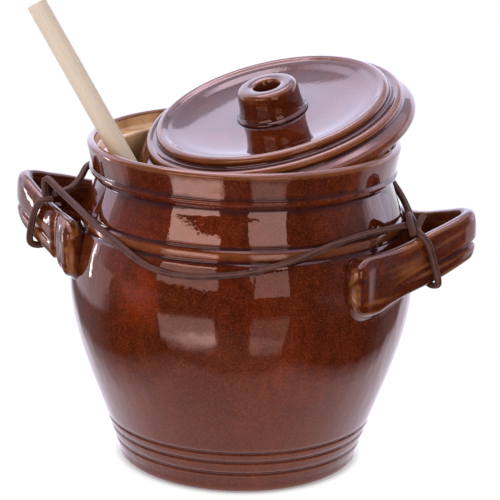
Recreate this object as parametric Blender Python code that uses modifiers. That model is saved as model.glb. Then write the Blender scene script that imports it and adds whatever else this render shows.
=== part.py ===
"""A glazed stoneware crock with two strap handles, a tilted lid, a wooden stick and a leather thong."""

import math

import bmesh
import bpy
from mathutils import Matrix, Vector

MM = 0.001
GAP = 0.3 * MM
MERGE_DISTANCE = 0.01 * MM

# The crock wall
CROCK_HEIGHT = 218.0 * MM
CROCK_STEPS = 56
FOOT_FLAT_RADIUS = 76.5 * MM
FOOT_EDGE_RADIUS = 5.0 * MM
WALL_START_HEIGHT = 7.0 * MM
WALL_START_RADIUS = 81.5 * MM
WALL_START_SLOPE = 0.30
BELLY_DROP = 92.0 * MM
BELLY_HEIGHT = CROCK_HEIGHT - BELLY_DROP
BELLY_RADIUS = 114.0 * MM
NECK_DROP = 24.5 * MM
NECK_HEIGHT = CROCK_HEIGHT - NECK_DROP
NECK_RADIUS = 96.6 * MM
NECK_SLOPE = -0.38
WALL_THICKNESS = 7.5 * MM
FLOOR_THICKNESS = 9.0 * MM
FLOOR_CORNER_RADIUS = 14.0 * MM
FLOOR_CORNER_STEPS = 4

# Turned lines in the wall
FOOT_GROOVE_HEIGHTS = (30.7 * MM, 23.6 * MM, 14.7 * MM)
FOOT_GROOVE_DEPTH = 1.0 * MM
FOOT_GROOVE_WIDTH = 2.2 * MM
SHOULDER_GROOVE_DROPS = (48.0 * MM, 54.0 * MM)
SHOULDER_GROOVE_DEPTH = 0.7 * MM
SHOULDER_GROOVE_WIDTH = 2.4 * MM
UPPER_WALL_LEVELS = 4
MIDDLE_WALL_LEVELS = 11
LOWER_WALL_LEVELS = 2
INNER_WALL_LEVELS = 8

# The neck band, lip and ledge for the lid
BEAD_DROP = 19.4 * MM
BEAD_HEIGHT = CROCK_HEIGHT - BEAD_DROP
BEAD_RADIUS = 101.1 * MM
BEAD_HALF_WIDTH = 2.6 * MM
BAND_FOOT_RADIUS = 100.4 * MM
BAND_FOOT_DROP = 16.0 * MM
BAND_FOOT_HEIGHT = CROCK_HEIGHT - BAND_FOOT_DROP
LIP_RADIUS = 102.6 * MM
LIP_DROP = 4.0 * MM
LIP_HEIGHT = CROCK_HEIGHT - LIP_DROP
LIP_EDGE_RADIUS = 3.4 * MM
LIP_EDGE_STEPS = 4
MOUTH_RADIUS = 97.3 * MM
MOUTH_EDGE_RADIUS = 2.2 * MM
MOUTH_EDGE_STEPS = 3
LEDGE_DROP = 9.0 * MM
LEDGE_HEIGHT = CROCK_HEIGHT - LEDGE_DROP
LEDGE_RADIUS = 87.3 * MM
LEDGE_CORNER = 1.2 * MM
LEDGE_EDGE_RADIUS = 2.5 * MM
LEDGE_EDGE_STEPS = 3
LEDGE_DEPTH = 7.0 * MM

# The strap handles: reach past the belly, side reach, drop from the lip, half height and half thickness
STRAP_ROUTE_MM = (
    (-26.5, -74.0, 75.0, 19.5, 6.5),
    (-17.0, -62.5, 75.0, 19.5, 6.5),
    (-8.0, -50.5, 72.5, 18.0, 6.0),
    (2.5, -40.0, 68.5, 17.0, 5.5),
    (12.5, -30.5, 64.5, 16.7, 5.5),
    (22.5, -20.0, 60.5, 16.6, 5.5),
    (31.0, -10.0, 56.5, 16.6, 5.5),
    (35.0, 0.0, 55.0, 16.6, 5.5),
)
STRAP_STATIONS_PER_SPAN = 2
STRAP_SIDE_STEPS = 12
STRAP_BACK_STEPS = 6
STRAP_SQUARENESS = 3.5
STRAP_GROOVE_LEVEL = -0.26
STRAP_GROOVE_WIDTH = 0.12
STRAP_GROOVE_DEPTH = 0.32
STRAP_END_REACH = 6.0 * MM
STRAP_END_SCALES = (0.93, 0.72, 0.38)
RIGHT_HANDLE_AZIMUTH = math.radians(-11.0)
LEFT_HANDLE_AZIMUTH = math.radians(169.0)
LEFT_HANDLE_LIFT = 6.0 * MM
STRAP_SHARP_ANGLE = math.radians(40.0)

# The lid, heights counted from the seat under its flange
LID_STEPS = 56
LID_SEAT_INNER_RADIUS = 79.8 * MM
LID_COLLAR_DEPTH = 9.8 * MM
LID_COLLAR_THICKNESS = 5.5 * MM
LID_TOP_MM = (
    (17.5, 8.6),
    (17.5, 24.4),
    (17.8, 45.0),
    (19.2, 60.0),
    (20.8, 68.0),
    (21.0, 70.4),
    (22.5, 73.6),
    (22.5, 75.8),
    (21.4, 77.6),
    (19.8, 78.3),
    (18.2, 78.1),
    (16.7, 79.1),
    (16.4, 81.0),
    (17.0, 83.2),
    (16.6, 85.0),
    (15.2, 86.3),
    (13.6, 86.5),
    (12.2, 85.6),
    (10.6, 86.1),
    (9.4, 88.2),
    (8.4, 90.4),
    (6.6, 92.2),
    (4.2, 92.8),
    (1.8, 92.2),
    (0.4, 90.6),
    (0.0, 88.6),
)
LID_UNDER_MM = (
    (2.0, 74.4),
    (7.0, 71.0),
    (10.6, 64.0),
    (11.2, 50.0),
    (10.6, 24.0),
    (10.3, 8.6),
)
LID_TILT = math.radians(17.63)
LID_LOW_AZIMUTH = math.radians(219.57)
LID_SIDE_SHIFT = 22.5 * MM
LID_BACK_SHIFT = 18.6 * MM
LID_SEAT_RISE = 6.2 * MM
LID_CENTRE = Vector((LID_SIDE_SHIFT, LID_BACK_SHIFT, LEDGE_HEIGHT + LID_SEAT_RISE))

# The knob, heights counted from the lid's plate
KNOB_STEPS = 40
KNOB_BORE_RADIUS = 8.6 * MM
KNOB_OUTLINE_MM = (
    (17.2, 8.6),
    (18.7, 9.3),
    (19.5, 11.4),
    (19.7, 14.6),
    (19.3, 17.4),
    (17.9, 19.2),
    (15.4, 20.0),
    (8.0, 20.6),
    (4.0, 21.3),
    (2.1, 22.2),
    (0.9, 23.6),
    (0.0, 24.0),
)
KNOB_SEAT_HEIGHT = 17.5 * MM

# The stick
STICK_DIAMETER = 13.1 * MM
STICK_LENGTH = 340.0 * MM
STICK_STEPS = 24
STICK_EASE = 0.8 * MM
STICK_EASE_STEPS = 2
STICK_CLEARANCE = 0.08 * MM
STICK_MOST_LEAN = math.radians(60.0)
STICK_AZIMUTH = math.radians(166.6)
STICK_SIDE_SHIFT = 36.7 * MM
STICK_FRONT_SHIFT = 43.8 * MM
STICK_FOOT_RISE = 3.4 * MM
STICK_FOOT = Vector((STICK_SIDE_SHIFT, -STICK_FRONT_SHIFT, FLOOR_THICKNESS + STICK_FOOT_RISE))

# The leather thong
THONG_DIAMETER = 4.2 * MM
THONG_SIDES_RESOLUTION = 2
RUN_SPACING = 9.0 * MM
KNOT_SPACING = 4.0 * MM
SPLINE_SAMPLES = 24
FRONT_THONG_ROUTE_MM = (
    (-128.5, -12.0, 177.3),
    (-129.4, -11.0, 182.0),
    (-129.9, -9.6, 187.0),
    (-128.8, -9.5, 190.3),
    (-125.0, -13.5, 188.6),
    (-116.0, -24.5, 183.2),
    (-105.0, -40.0, 178.0),
    (-96.3, -52.6, 173.8),
    (-88.9, -62.3, 170.4),
    (-76.4, -79.3, 165.4),
    (-65.1, -90.8, 160.0),
    (-54.7, -98.5, 156.2),
    (-40.8, -105.4, 154.6),
    (-25.9, -109.9, 155.0),
    (-11.1, -111.9, 156.6),
    (5.4, -111.7, 158.8),
    (15.2, -110.1, 161.1),
    (30.0, -106.0, 164.7),
    (44.7, -99.2, 168.8),
    (59.8, -89.4, 172.7),
    (75.2, -76.0, 174.5),
    (90.5, -65.5, 175.3),
    (100.0, -58.5, 175.9),
    (104.6, -55.1, 175.7),
)
BACK_THONG_ROUTE_MM = (
    (-123.2, -10.5, 179.8),
    (-118.0, -5.6, 180.2),
    (-112.0, -0.5, 182.0),
    (-107.2, 6.5, 187.0),
    (-104.0, 14.5, 192.3),
    (-98.8, 25.8, 192.8),
    (-88.9, 46.0, 192.3),
    (-70.7, 70.9, 192.3),
    (-45.4, 89.2, 192.3),
    (-15.1, 99.0, 192.3),
    (20.2, 98.1, 192.3),
    (50.4, 86.5, 192.3),
    (74.6, 66.8, 192.2),
    (87.7, 49.3, 190.8),
    (95.6, 37.8, 186.6),
    (102.0, 27.0, 180.5),
    (107.0, 17.5, 174.0),
    (110.8, 5.0, 167.6),
    (112.6, -10.0, 165.4),
    (112.3, -25.0, 168.0),
    (110.0, -38.0, 173.4),
    (106.6, -48.0, 179.9),
    (105.2, -54.0, 181.7),
    (106.0, -59.2, 179.1),
    (107.4, -61.4, 174.6),
    (108.2, -61.6, 170.8),
)
LEFT_KNOT_ROUTE_MM = (
    (-124.6, -14.6, 177.2),
    (-127.2, -16.6, 177.4),
    (-130.4, -16.4, 177.2),
    (-132.8, -14.2, 175.6),
    (-134.6, -12.6, 171.6),
    (-136.8, -10.7, 166.0),
    (-138.7, -7.3, 158.0),
    (-140.1, -4.6, 151.0),
    (-140.6, -2.4, 146.0),
    (-139.6, -0.6, 142.6),
    (-134.4, 2.2, 141.2),
    (-129.4, 4.8, 142.4),
    (-126.8, 5.4, 146.4),
    (-125.6, 3.0, 154.5),
    (-123.2, -0.6, 163.5),
    (-121.6, -3.6, 171.0),
)
RIGHT_KNOT_ROUTE_MM = (
    (115.6, -46.0, 180.6),
    (113.0, -50.8, 176.6),
    (111.0, -55.4, 172.8),
    (112.4, -59.6, 171.2),
    (115.2, -62.4, 169.6),
    (117.6, -64.0, 166.6),
    (119.4, -63.4, 162.0),
    (121.6, -62.0, 155.0),
    (123.8, -60.4, 147.5),
    (125.6, -59.2, 141.0),
    (125.8, -57.2, 137.0),
    (122.8, -51.8, 134.9),
    (119.4, -47.2, 136.2),
    (117.4, -45.0, 140.4),
    (115.6, -46.0, 149.0),
    (112.8, -47.8, 157.5),
    (110.4, -49.4, 164.4),
)

# Materials: colour as red, green, blue, then roughness
GLAZE_BROWN = ((0.165, 0.052, 0.022), 0.12)
HANDLE_BROWN = ((0.190, 0.066, 0.026), 0.12)
LID_BROWN = ((0.205, 0.064, 0.023), 0.10)
KNOB_BROWN = ((0.150, 0.042, 0.018), 0.10)
STICK_WOOD = ((0.780, 0.640, 0.450), 0.60)
THONG_LEATHER = ((0.062, 0.043, 0.036), 0.65)

COLLECTION_NAME = "fermentation_crock"
CUTTER_COLLECTION_NAME = "cutters"


def clear_scene():
    """Remove whatever the file holds at the start."""
    for scene_object in list(bpy.data.objects):
        bpy.data.objects.remove(scene_object, do_unlink=True)


def new_collection(name):
    """Make a collection linked to the scene."""
    collection = bpy.data.collections.new(name)
    bpy.context.scene.collection.children.link(collection)
    return collection


def new_material(name, look):
    """Make a Principled material from a colour and a roughness."""
    colour, roughness = look
    material = bpy.data.materials.new(name)
    material.use_nodes = True
    shader = material.node_tree.nodes["Principled BSDF"]
    shader.inputs["Base Color"].default_value = (*colour, 1.0)
    shader.inputs["Roughness"].default_value = roughness
    shader.inputs["Metallic"].default_value = 0.0
    return material


def link_object(name, data, collection, look=None):
    """Make an object for some data and give it its own material."""
    new_object = bpy.data.objects.new(name, data)
    collection.objects.link(new_object)
    if look is not None:
        data.materials.append(new_material(name + "_material", look))
    return new_object


def corner(centre_radius, centre_height, radius, first_angle, last_angle, steps):
    """Give the points of a round corner in the radius and height plane."""
    points = []
    for step in range(steps + 1):
        angle = math.radians(first_angle + (last_angle - first_angle) * step / steps)
        points.append((centre_radius + radius * math.cos(angle), centre_height + radius * math.sin(angle)))
    return points


def eased_radius(height, low, high):
    """Blend two (height, radius, slope) ends with a cubic curve."""
    span = high[0] - low[0]
    t = (height - low[0]) / span
    start = (2 * t**3 - 3 * t**2 + 1) * low[1] + (t**3 - 2 * t**2 + t) * span * low[2]
    end = (3 * t**2 - 2 * t**3) * high[1] + (t**3 - t**2) * span * high[2]
    return start + end


def wall_radius(height):
    """Give the outer radius of the plain wall at a height."""
    belly = (BELLY_HEIGHT, BELLY_RADIUS, 0.0)
    if height < BELLY_HEIGHT:
        return eased_radius(height, (WALL_START_HEIGHT, WALL_START_RADIUS, WALL_START_SLOPE), belly)
    return eased_radius(height, belly, (NECK_HEIGHT, NECK_RADIUS, NECK_SLOPE))


def wall_points(top, bottom, levels):
    """Give points down the plain wall, both ends included."""
    points = []
    for level in range(levels + 1):
        height = top + (bottom - top) * level / levels
        points.append((wall_radius(height), height))
    return points


def groove_points(height, depth, width):
    """Give the three points of a turned line."""
    upper = height + width / 2
    lower = height - width / 2
    return [(wall_radius(upper), upper), (wall_radius(height) - depth, height), (wall_radius(lower), lower)]


def outer_wall(with_lines):
    """Give the outer profile from under the lip down to the foot's flat."""
    points = corner(BEAD_RADIUS - BEAD_HALF_WIDTH, BEAD_HEIGHT, BEAD_HALF_WIDTH, 50.0, -60.0, 4)
    points.insert(0, (BAND_FOOT_RADIUS, BAND_FOOT_HEIGHT))
    shoulder_heights = [CROCK_HEIGHT - drop for drop in SHOULDER_GROOVE_DROPS]
    shoulder_top, shoulder_bottom = shoulder_heights
    foot_top, foot_middle, foot_bottom = FOOT_GROOVE_HEIGHTS
    half_shoulder = SHOULDER_GROOVE_WIDTH / 2
    half_foot = FOOT_GROOVE_WIDTH / 2
    upper = wall_points(NECK_HEIGHT, shoulder_top + half_shoulder, UPPER_WALL_LEVELS)
    middle = wall_points(shoulder_bottom - half_shoulder, foot_top + half_foot, MIDDLE_WALL_LEVELS)
    lower = wall_points(foot_bottom - half_foot, WALL_START_HEIGHT, LOWER_WALL_LEVELS)
    points += upper[:-1]
    if with_lines:
        for height in shoulder_heights:
            points += groove_points(height, SHOULDER_GROOVE_DEPTH, SHOULDER_GROOVE_WIDTH)
    else:
        points += wall_points(shoulder_top, shoulder_bottom, 1)
    points += middle[1:-1]
    if with_lines:
        for height in (foot_top, foot_middle, foot_bottom):
            points += groove_points(height, FOOT_GROOVE_DEPTH, FOOT_GROOVE_WIDTH)
    else:
        points += wall_points(foot_top, foot_bottom, 2)
    points += lower[1:-1]
    return points + corner(FOOT_FLAT_RADIUS, FOOT_EDGE_RADIUS, FOOT_EDGE_RADIUS, 0.0, -90.0, 3)


def inner_wall():
    """Give the inner profile from the middle of the floor up to the ledge."""
    low = FLOOR_THICKNESS + FLOOR_CORNER_RADIUS
    low_radius = wall_radius(low) - WALL_THICKNESS
    centre = low_radius - FLOOR_CORNER_RADIUS
    points = [(0.0, FLOOR_THICKNESS)]
    points += corner(centre, low, FLOOR_CORNER_RADIUS, -90.0, 0.0, FLOOR_CORNER_STEPS)
    for level in range(1, INNER_WALL_LEVELS + 1):
        height = low + (NECK_HEIGHT - low) * level / INNER_WALL_LEVELS
        points.append((wall_radius(height) - WALL_THICKNESS, height))
    points.append((LEDGE_RADIUS, LEDGE_HEIGHT - LEDGE_DEPTH))
    edge_centre = (LEDGE_RADIUS + LEDGE_EDGE_RADIUS, LEDGE_HEIGHT - LEDGE_EDGE_RADIUS)
    points += corner(*edge_centre, LEDGE_EDGE_RADIUS, 180.0, 90.0, LEDGE_EDGE_STEPS)
    return points


def lip_points():
    """Give the profile from the ledge up over the lip and down to the neck band."""
    inner_centre = (MOUTH_RADIUS + MOUTH_EDGE_RADIUS, CROCK_HEIGHT - MOUTH_EDGE_RADIUS)
    outer_centre = (LIP_RADIUS - LIP_EDGE_RADIUS, CROCK_HEIGHT - LIP_EDGE_RADIUS)
    points = [(MOUTH_RADIUS - LEDGE_CORNER, LEDGE_HEIGHT), (MOUTH_RADIUS, LEDGE_HEIGHT + LEDGE_CORNER)]
    points += corner(*inner_centre, MOUTH_EDGE_RADIUS, 180.0, 90.0, MOUTH_EDGE_STEPS)
    points += corner(*outer_centre, LIP_EDGE_RADIUS, 90.0, 0.0, LIP_EDGE_STEPS)
    return points + [((BAND_FOOT_RADIUS + LIP_RADIUS) / 2, (BAND_FOOT_HEIGHT + LIP_HEIGHT) / 2)]


def crock_profile():
    """Give the crock's whole profile, from the floor inside over the lip to the base."""
    return inner_wall() + lip_points() + outer_wall(True) + [(0.0, 0.0)]


def envelope_profile():
    """Give the solid that clears the crock's wall for the handle pads."""
    points = [(radius + GAP, height) for radius, height in outer_wall(False)]
    return [(0.0, points[0][1])] + points + [(0.0, points[-1][1])]


def flipped(points_mm):
    """Turn (height, radius) pairs in millimetres into (radius, height) in metres."""
    return [(radius * MM, height * MM) for height, radius in points_mm]


def lid_profile():
    """Give the lid's profile: over the top, round the flange and collar, and back under."""
    collar_inner = LID_SEAT_INNER_RADIUS - LID_COLLAR_THICKNESS
    collar_round = LID_COLLAR_THICKNESS / 4
    points = flipped(LID_TOP_MM)
    points.append((LID_SEAT_INNER_RADIUS + collar_round, 0.0))
    points.append((LID_SEAT_INNER_RADIUS, -collar_round))
    points.append((LID_SEAT_INNER_RADIUS, collar_round - LID_COLLAR_DEPTH))
    points.append((LID_SEAT_INNER_RADIUS - collar_round, -LID_COLLAR_DEPTH))
    points.append((collar_inner + collar_round, -LID_COLLAR_DEPTH))
    points.append((collar_inner, collar_round - LID_COLLAR_DEPTH))
    return points + flipped(LID_UNDER_MM)


def profile_mesh(name, profile, closed):
    """Make a mesh of edges from a profile in the XZ plane."""
    vertices = [(radius, 0.0, height) for radius, height in profile]
    edges = [(index, index + 1) for index in range(len(vertices) - 1)]
    if closed:
        edges.append((len(vertices) - 1, 0))
    mesh = bpy.data.meshes.new(name)
    mesh.from_pydata(vertices, edges, [])
    return mesh


def turned_object(name, profile, steps, collection, look=None, closed=False):
    """Turn a profile about the Z axis."""
    turned = link_object(name, profile_mesh(name, profile, closed), collection, look)
    screw = turned.modifiers.new("Turn", "SCREW")
    screw.angle = math.tau
    screw.steps = steps
    screw.render_steps = steps
    screw.use_merge_vertices = True
    screw.merge_threshold = MERGE_DISTANCE
    screw.use_smooth_shade = True
    return turned


def spline_points(points, samples):
    """Pass a smooth curve through points of any number of values."""
    first = [2 * a - b for a, b in zip(points[0], points[1])]
    last = [2 * a - b for a, b in zip(points[-1], points[-2])]
    ends = [first, *points, last]
    result = []
    for index in range(1, len(ends) - 2):
        group = list(zip(ends[index - 1], ends[index], ends[index + 1], ends[index + 2]))
        for sample in range(samples):
            t = sample / samples
            values = []
            for a, b, c, d in group:
                cubic = (3 * b - a - 3 * c + d) * t**3 + (2 * a - 5 * b + 4 * c - d) * t**2
                values.append(0.5 * (2 * b + (c - a) * t + cubic))
            result.append(values)
    result.append(list(points[-1]))
    return result


def strap_outline():
    """Give the strap's section as shares of half thickness and half height."""
    outline = []
    for step in range(STRAP_SIDE_STEPS + 1):
        level = math.cos(math.pi * step / STRAP_SIDE_STEPS)
        reach = (1 - abs(level) ** STRAP_SQUARENESS) ** (1 / STRAP_SQUARENESS)
        dip = math.exp(-(((level - STRAP_GROOVE_LEVEL) / STRAP_GROOVE_WIDTH) ** 2))
        outline.append((reach - STRAP_GROOVE_DEPTH * dip, level))
    for step in range(STRAP_BACK_STEPS - 1, 0, -1):
        level = math.cos(math.pi * step / STRAP_BACK_STEPS)
        reach = (1 - abs(level) ** STRAP_SQUARENESS) ** (1 / STRAP_SQUARENESS)
        outline.append((-reach, level))
    return outline


def strap_stations():
    """Give each station's centre, outward side, half height and half thickness."""
    far_half = [(row[0], -row[1], *row[2:]) for row in reversed(STRAP_ROUTE_MM[:-1])]
    rows = spline_points([*STRAP_ROUTE_MM, *far_half], STRAP_STATIONS_PER_SPAN)
    stations = []
    for index, row in enumerate(rows):
        before = rows[max(index - 1, 0)]
        after = rows[min(index + 1, len(rows) - 1)]
        along = Vector((after[0] - before[0], after[1] - before[1], 0.0)).normalized()
        outward = Vector((along.y, -along.x, 0.0))
        reach, side, drop, height, thickness = (value * MM for value in row)
        centre = Vector((BELLY_RADIUS + reach, side, CROCK_HEIGHT - drop))
        stations.append((centre, outward, along, height, thickness))
    return stations


def with_round_ends(stations):
    """Add the small shrunken stations that round both ends of the strap."""
    count = len(STRAP_END_SCALES)
    first_ends = []
    last_ends = []
    for order, scale in enumerate(STRAP_END_SCALES, 1):
        reach = STRAP_END_REACH * math.sin(math.pi / 2 * order / count)
        centre, outward, along, height, thickness = stations[0]
        first_ends.insert(0, (centre - along * reach, outward, along, height * scale, thickness * scale))
        centre, outward, along, height, thickness = stations[-1]
        last_ends.append((centre + along * reach, outward, along, height * scale, thickness * scale))
    return first_ends + stations + last_ends


def strap_mesh(name):
    """Loft the ribbed strap section along its route."""
    outline = strap_outline()
    build = bmesh.new()
    rings = []
    for centre, outward, _, height, thickness in with_round_ends(strap_stations()):
        ring = []
        for across, level in outline:
            offset = outward * (across * thickness)
            ring.append(build.verts.new(centre + offset + Vector((0.0, 0.0, level * height))))
        rings.append(ring)
    count = len(outline)
    for ring, following in zip(rings, rings[1:]):
        for index in range(count):
            after = (index + 1) % count
            build.faces.new((ring[index], ring[after], following[after], following[index]))
    build.faces.new(rings[0])
    build.faces.new(list(reversed(rings[-1])))
    bmesh.ops.recalc_face_normals(build, faces=build.faces)
    mesh = bpy.data.meshes.new(name)
    build.to_mesh(mesh)
    build.free()
    mesh.polygons.foreach_set("use_smooth", [True] * len(mesh.polygons))
    mesh.set_sharp_from_angle(angle=STRAP_SHARP_ANGLE)
    return mesh


def strap_handle(name, azimuth, lift, envelope, collection):
    """Make a strap handle whose pads follow the crock's wall."""
    handle = link_object(name, strap_mesh(name), collection, HANDLE_BROWN)
    handle.rotation_euler.z = azimuth
    handle.location.z = lift
    cut = handle.modifiers.new("Wall", "BOOLEAN")
    cut.operation = "DIFFERENCE"
    cut.solver = "EXACT"
    cut.object = envelope
    return handle


def even_points(route_mm, spacing):
    """Resample a smooth route at even spacing."""
    dense = [Vector(values) * MM for values in spline_points(route_mm, SPLINE_SAMPLES)]
    lengths = [0.0]
    for here, following in zip(dense, dense[1:]):
        lengths.append(lengths[-1] + (following - here).length)
    count = max(2, round(lengths[-1] / spacing))
    points = []
    index = 0
    for step in range(count + 1):
        wanted = lengths[-1] * step / count
        while index < len(dense) - 2 and lengths[index + 1] < wanted:
            index += 1
        share = (wanted - lengths[index]) / (lengths[index + 1] - lengths[index])
        points.append(dense[index].lerp(dense[index + 1], share))
    return points


def least_self_gap(points):
    """Give the least gap between two parts of a cord that are apart along its length."""
    least = math.inf
    steps = [0.0]
    for here, following in zip(points, points[1:]):
        steps.append(steps[-1] + (following - here).length)
    for index, here in enumerate(points):
        for other in range(index + 1, len(points)):
            if steps[other] - steps[index] > 3 * THONG_DIAMETER:
                least = min(least, (points[other] - here).length - THONG_DIAMETER)
    return least


def thong(name, route_mm, spacing, collection):
    """Make one length of the thong as a round tube."""
    points = even_points(route_mm, spacing)
    curve = bpy.data.curves.new(name, "CURVE")
    curve.dimensions = "3D"
    curve.bevel_depth = THONG_DIAMETER / 2
    curve.bevel_resolution = THONG_SIDES_RESOLUTION
    curve.use_fill_caps = True
    spline = curve.splines.new("POLY")
    spline.points.add(len(points) - 1)
    for target, point in zip(spline.points, points):
        target.co = (*point, 1.0)
    print(name, "least self gap mm", round(least_self_gap(points) / MM, 2))
    return link_object(name, curve, collection, THONG_LEATHER)


def tilt_matrix(tilt, azimuth):
    """Lean the Z axis by a tilt toward an azimuth."""
    turn = Matrix.Rotation(azimuth, 4, "Z")
    return turn @ Matrix.Rotation(tilt, 4, "Y") @ turn.inverted()


def place(target, location, tilt, azimuth):
    """Set an object's place from a location and a lean."""
    target.location = location
    target.rotation_euler = tilt_matrix(tilt, azimuth).to_euler()


def build_lid(collection):
    """Make the lid and its knob, tilted as they rest in the mouth."""
    lid = turned_object("lid", lid_profile(), LID_STEPS, collection, LID_BROWN, closed=True)
    place(lid, LID_CENTRE, LID_TILT, LID_LOW_AZIMUTH)
    outline = [*flipped(KNOB_OUTLINE_MM), (KNOB_BORE_RADIUS, 0.0)]
    knob = turned_object("lid_knob", outline, KNOB_STEPS, collection, KNOB_BROWN, closed=True)
    knob.parent = lid
    knob.location.z = KNOB_SEAT_HEIGHT + GAP
    return lid


def stick_lean():
    """Find the lean at which the stick, from its foot, just clears the ledge's round edge."""
    edge_radius = LEDGE_RADIUS + LEDGE_EDGE_RADIUS
    edge_height = LEDGE_HEIGHT - LEDGE_EDGE_RADIUS
    edge = []
    for degree in range(360):
        turn = Matrix.Rotation(math.radians(degree), 3, "Z")
        edge.append(turn @ Vector((edge_radius, 0.0, edge_height)))
    wanted = STICK_DIAMETER / 2 + LEDGE_EDGE_RADIUS + STICK_CLEARANCE
    steep, flat = 0.0, STICK_MOST_LEAN
    for _ in range(40):
        lean = (steep + flat) / 2
        axis = tilt_matrix(lean, STICK_AZIMUTH).to_3x3() @ Vector((0.0, 0.0, 1.0))
        nearest = min((point - STICK_FOOT).cross(axis).length for point in edge)
        crossing = STICK_FOOT + axis * ((edge_height - STICK_FOOT.z) / axis.z)
        if nearest > wanted and crossing.xy.length < edge_radius:
            steep = lean
        else:
            flat = lean
    return steep


def build_stick(collection):
    """Make the dowel with eased ends."""
    build = bmesh.new()
    radius = STICK_DIAMETER / 2
    middle = Matrix.Translation((0.0, 0.0, STICK_LENGTH / 2))
    bmesh.ops.create_cone(
        build,
        cap_ends=True,
        segments=STICK_STEPS,
        radius1=radius,
        radius2=radius,
        depth=STICK_LENGTH,
        matrix=middle,
    )
    mesh = bpy.data.meshes.new("stick")
    build.to_mesh(mesh)
    build.free()
    mesh.polygons.foreach_set("use_smooth", [True] * len(mesh.polygons))
    mesh.set_sharp_from_angle(angle=STRAP_SHARP_ANGLE)
    stick = link_object("stick", mesh, collection, STICK_WOOD)
    ease = stick.modifiers.new("Ease", "BEVEL")
    ease.width = STICK_EASE
    ease.segments = STICK_EASE_STEPS
    place(stick, STICK_FOOT, stick_lean(), STICK_AZIMUTH)
    return stick


def main():
    """Build every piece of the crock."""
    clear_scene()
    collection = new_collection(COLLECTION_NAME)
    cutters = new_collection(CUTTER_COLLECTION_NAME)
    turned_object("crock_body", crock_profile(), CROCK_STEPS, collection, GLAZE_BROWN)
    envelope = turned_object("wall_envelope", envelope_profile(), CROCK_STEPS, cutters)
    envelope.hide_render = True
    envelope.display_type = "WIRE"
    strap_handle("right_handle", RIGHT_HANDLE_AZIMUTH, 0.0, envelope, collection)
    strap_handle("left_handle", LEFT_HANDLE_AZIMUTH, LEFT_HANDLE_LIFT, envelope, collection)
    build_lid(collection)
    build_stick(collection)
    thong("front_thong", FRONT_THONG_ROUTE_MM, RUN_SPACING, collection)
    thong("back_thong", BACK_THONG_ROUTE_MM, RUN_SPACING, collection)
    thong("left_knot", LEFT_KNOT_ROUTE_MM, KNOT_SPACING, collection)
    thong("right_knot", RIGHT_KNOT_ROUTE_MM, KNOT_SPACING, collection)


main()
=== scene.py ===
"""A glazed stoneware fermentation crock with strap handles, a lid, a wooden stick and a leather thong."""

import math
from functools import partial

import bmesh
import bpy
import numpy as np
from bpy.props import FloatProperty, FloatVectorProperty, IntProperty, PointerProperty
from mathutils import Matrix, Vector, noise


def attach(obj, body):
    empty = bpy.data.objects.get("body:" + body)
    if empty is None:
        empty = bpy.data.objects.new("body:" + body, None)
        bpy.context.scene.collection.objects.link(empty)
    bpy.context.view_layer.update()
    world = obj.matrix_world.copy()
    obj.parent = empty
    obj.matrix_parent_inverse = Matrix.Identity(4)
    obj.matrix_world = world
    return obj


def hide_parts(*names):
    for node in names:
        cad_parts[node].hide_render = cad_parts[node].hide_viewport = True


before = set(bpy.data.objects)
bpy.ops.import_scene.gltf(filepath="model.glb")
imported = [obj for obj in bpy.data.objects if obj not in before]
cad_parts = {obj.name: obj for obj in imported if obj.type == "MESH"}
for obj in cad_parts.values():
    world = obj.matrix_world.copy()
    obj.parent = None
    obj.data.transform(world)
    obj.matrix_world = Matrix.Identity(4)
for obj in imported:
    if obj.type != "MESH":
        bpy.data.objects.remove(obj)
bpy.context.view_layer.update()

bl_info = {
    "name": "Fermentation crock",
    "version": (1, 0, 0),
    "blender": (4, 5, 0),
    "location": "View3D > Sidebar > Crock",
    "description": "Builds a glazed stoneware crock with its lid, stick and leather thong",
    "category": "Add Mesh",
}

MM = 0.001

# The crock wall, in metres, as in the solids
CROCK_HEIGHT = 218.0 * MM
WALL_THICKNESS = 7.5 * MM
WALL_START = (7.0 * MM, 81.5 * MM, 0.30)
BELLY = (126.0 * MM, 114.0 * MM, 0.0)
NECK = (193.5 * MM, 96.6 * MM, -0.38)
FOOT_FLAT_RADIUS = 76.5 * MM
FOOT_EDGE_RADIUS = 5.0 * MM
FLOOR_THICKNESS = 9.0 * MM
FLOOR_CORNER_RADIUS = 14.0 * MM
BEAD = (101.1 * MM, 198.6 * MM, 2.6 * MM)
# Lines cut into the turning wall: height, half width and depth
TURNED_LINES = (
    (170.8 * MM, 1.3 * MM, 0.8 * MM),
    (162.9 * MM, 1.3 * MM, 0.8 * MM),
    (30.7 * MM, 1.2 * MM, 1.1 * MM),
    (23.6 * MM, 1.2 * MM, 1.1 * MM),
    (14.7 * MM, 1.2 * MM, 1.1 * MM),
)
# Where the wall's glaze lies thin or thick: height, half width and change of its depth
GLAZE_BANDS = (
    (167.4 * MM, 1.7 * MM, -0.26),
    (171.4 * MM, 1.3 * MM, 0.50),
    (162.4 * MM, 1.3 * MM, 0.50),
    (198.6 * MM, 3.2 * MM, 0.32),
)
BAND_FOOT = (100.4 * MM, 202.0 * MM)
LIP = (102.6 * MM, 214.0 * MM, 3.4 * MM)
MOUTH_RADIUS = 97.3 * MM
MOUTH_EDGE_RADIUS = 2.2 * MM
LEDGE_HEIGHT = 209.0 * MM
LEDGE_RADIUS = 87.3 * MM
LEDGE_EDGE_RADIUS = 2.5 * MM
LEDGE_DEPTH = 7.0 * MM
MOUTH_FILLET = 1.2 * MM
# The honey lining comes in under this height, over this distance
LINING_TOP = CROCK_HEIGHT - 0.5 * MM
LINING_FADE = 3.0 * MM
# The finger marks lie between these heights
THROWN_SPAN = (36.0 * MM, 160.0 * MM)
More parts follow.
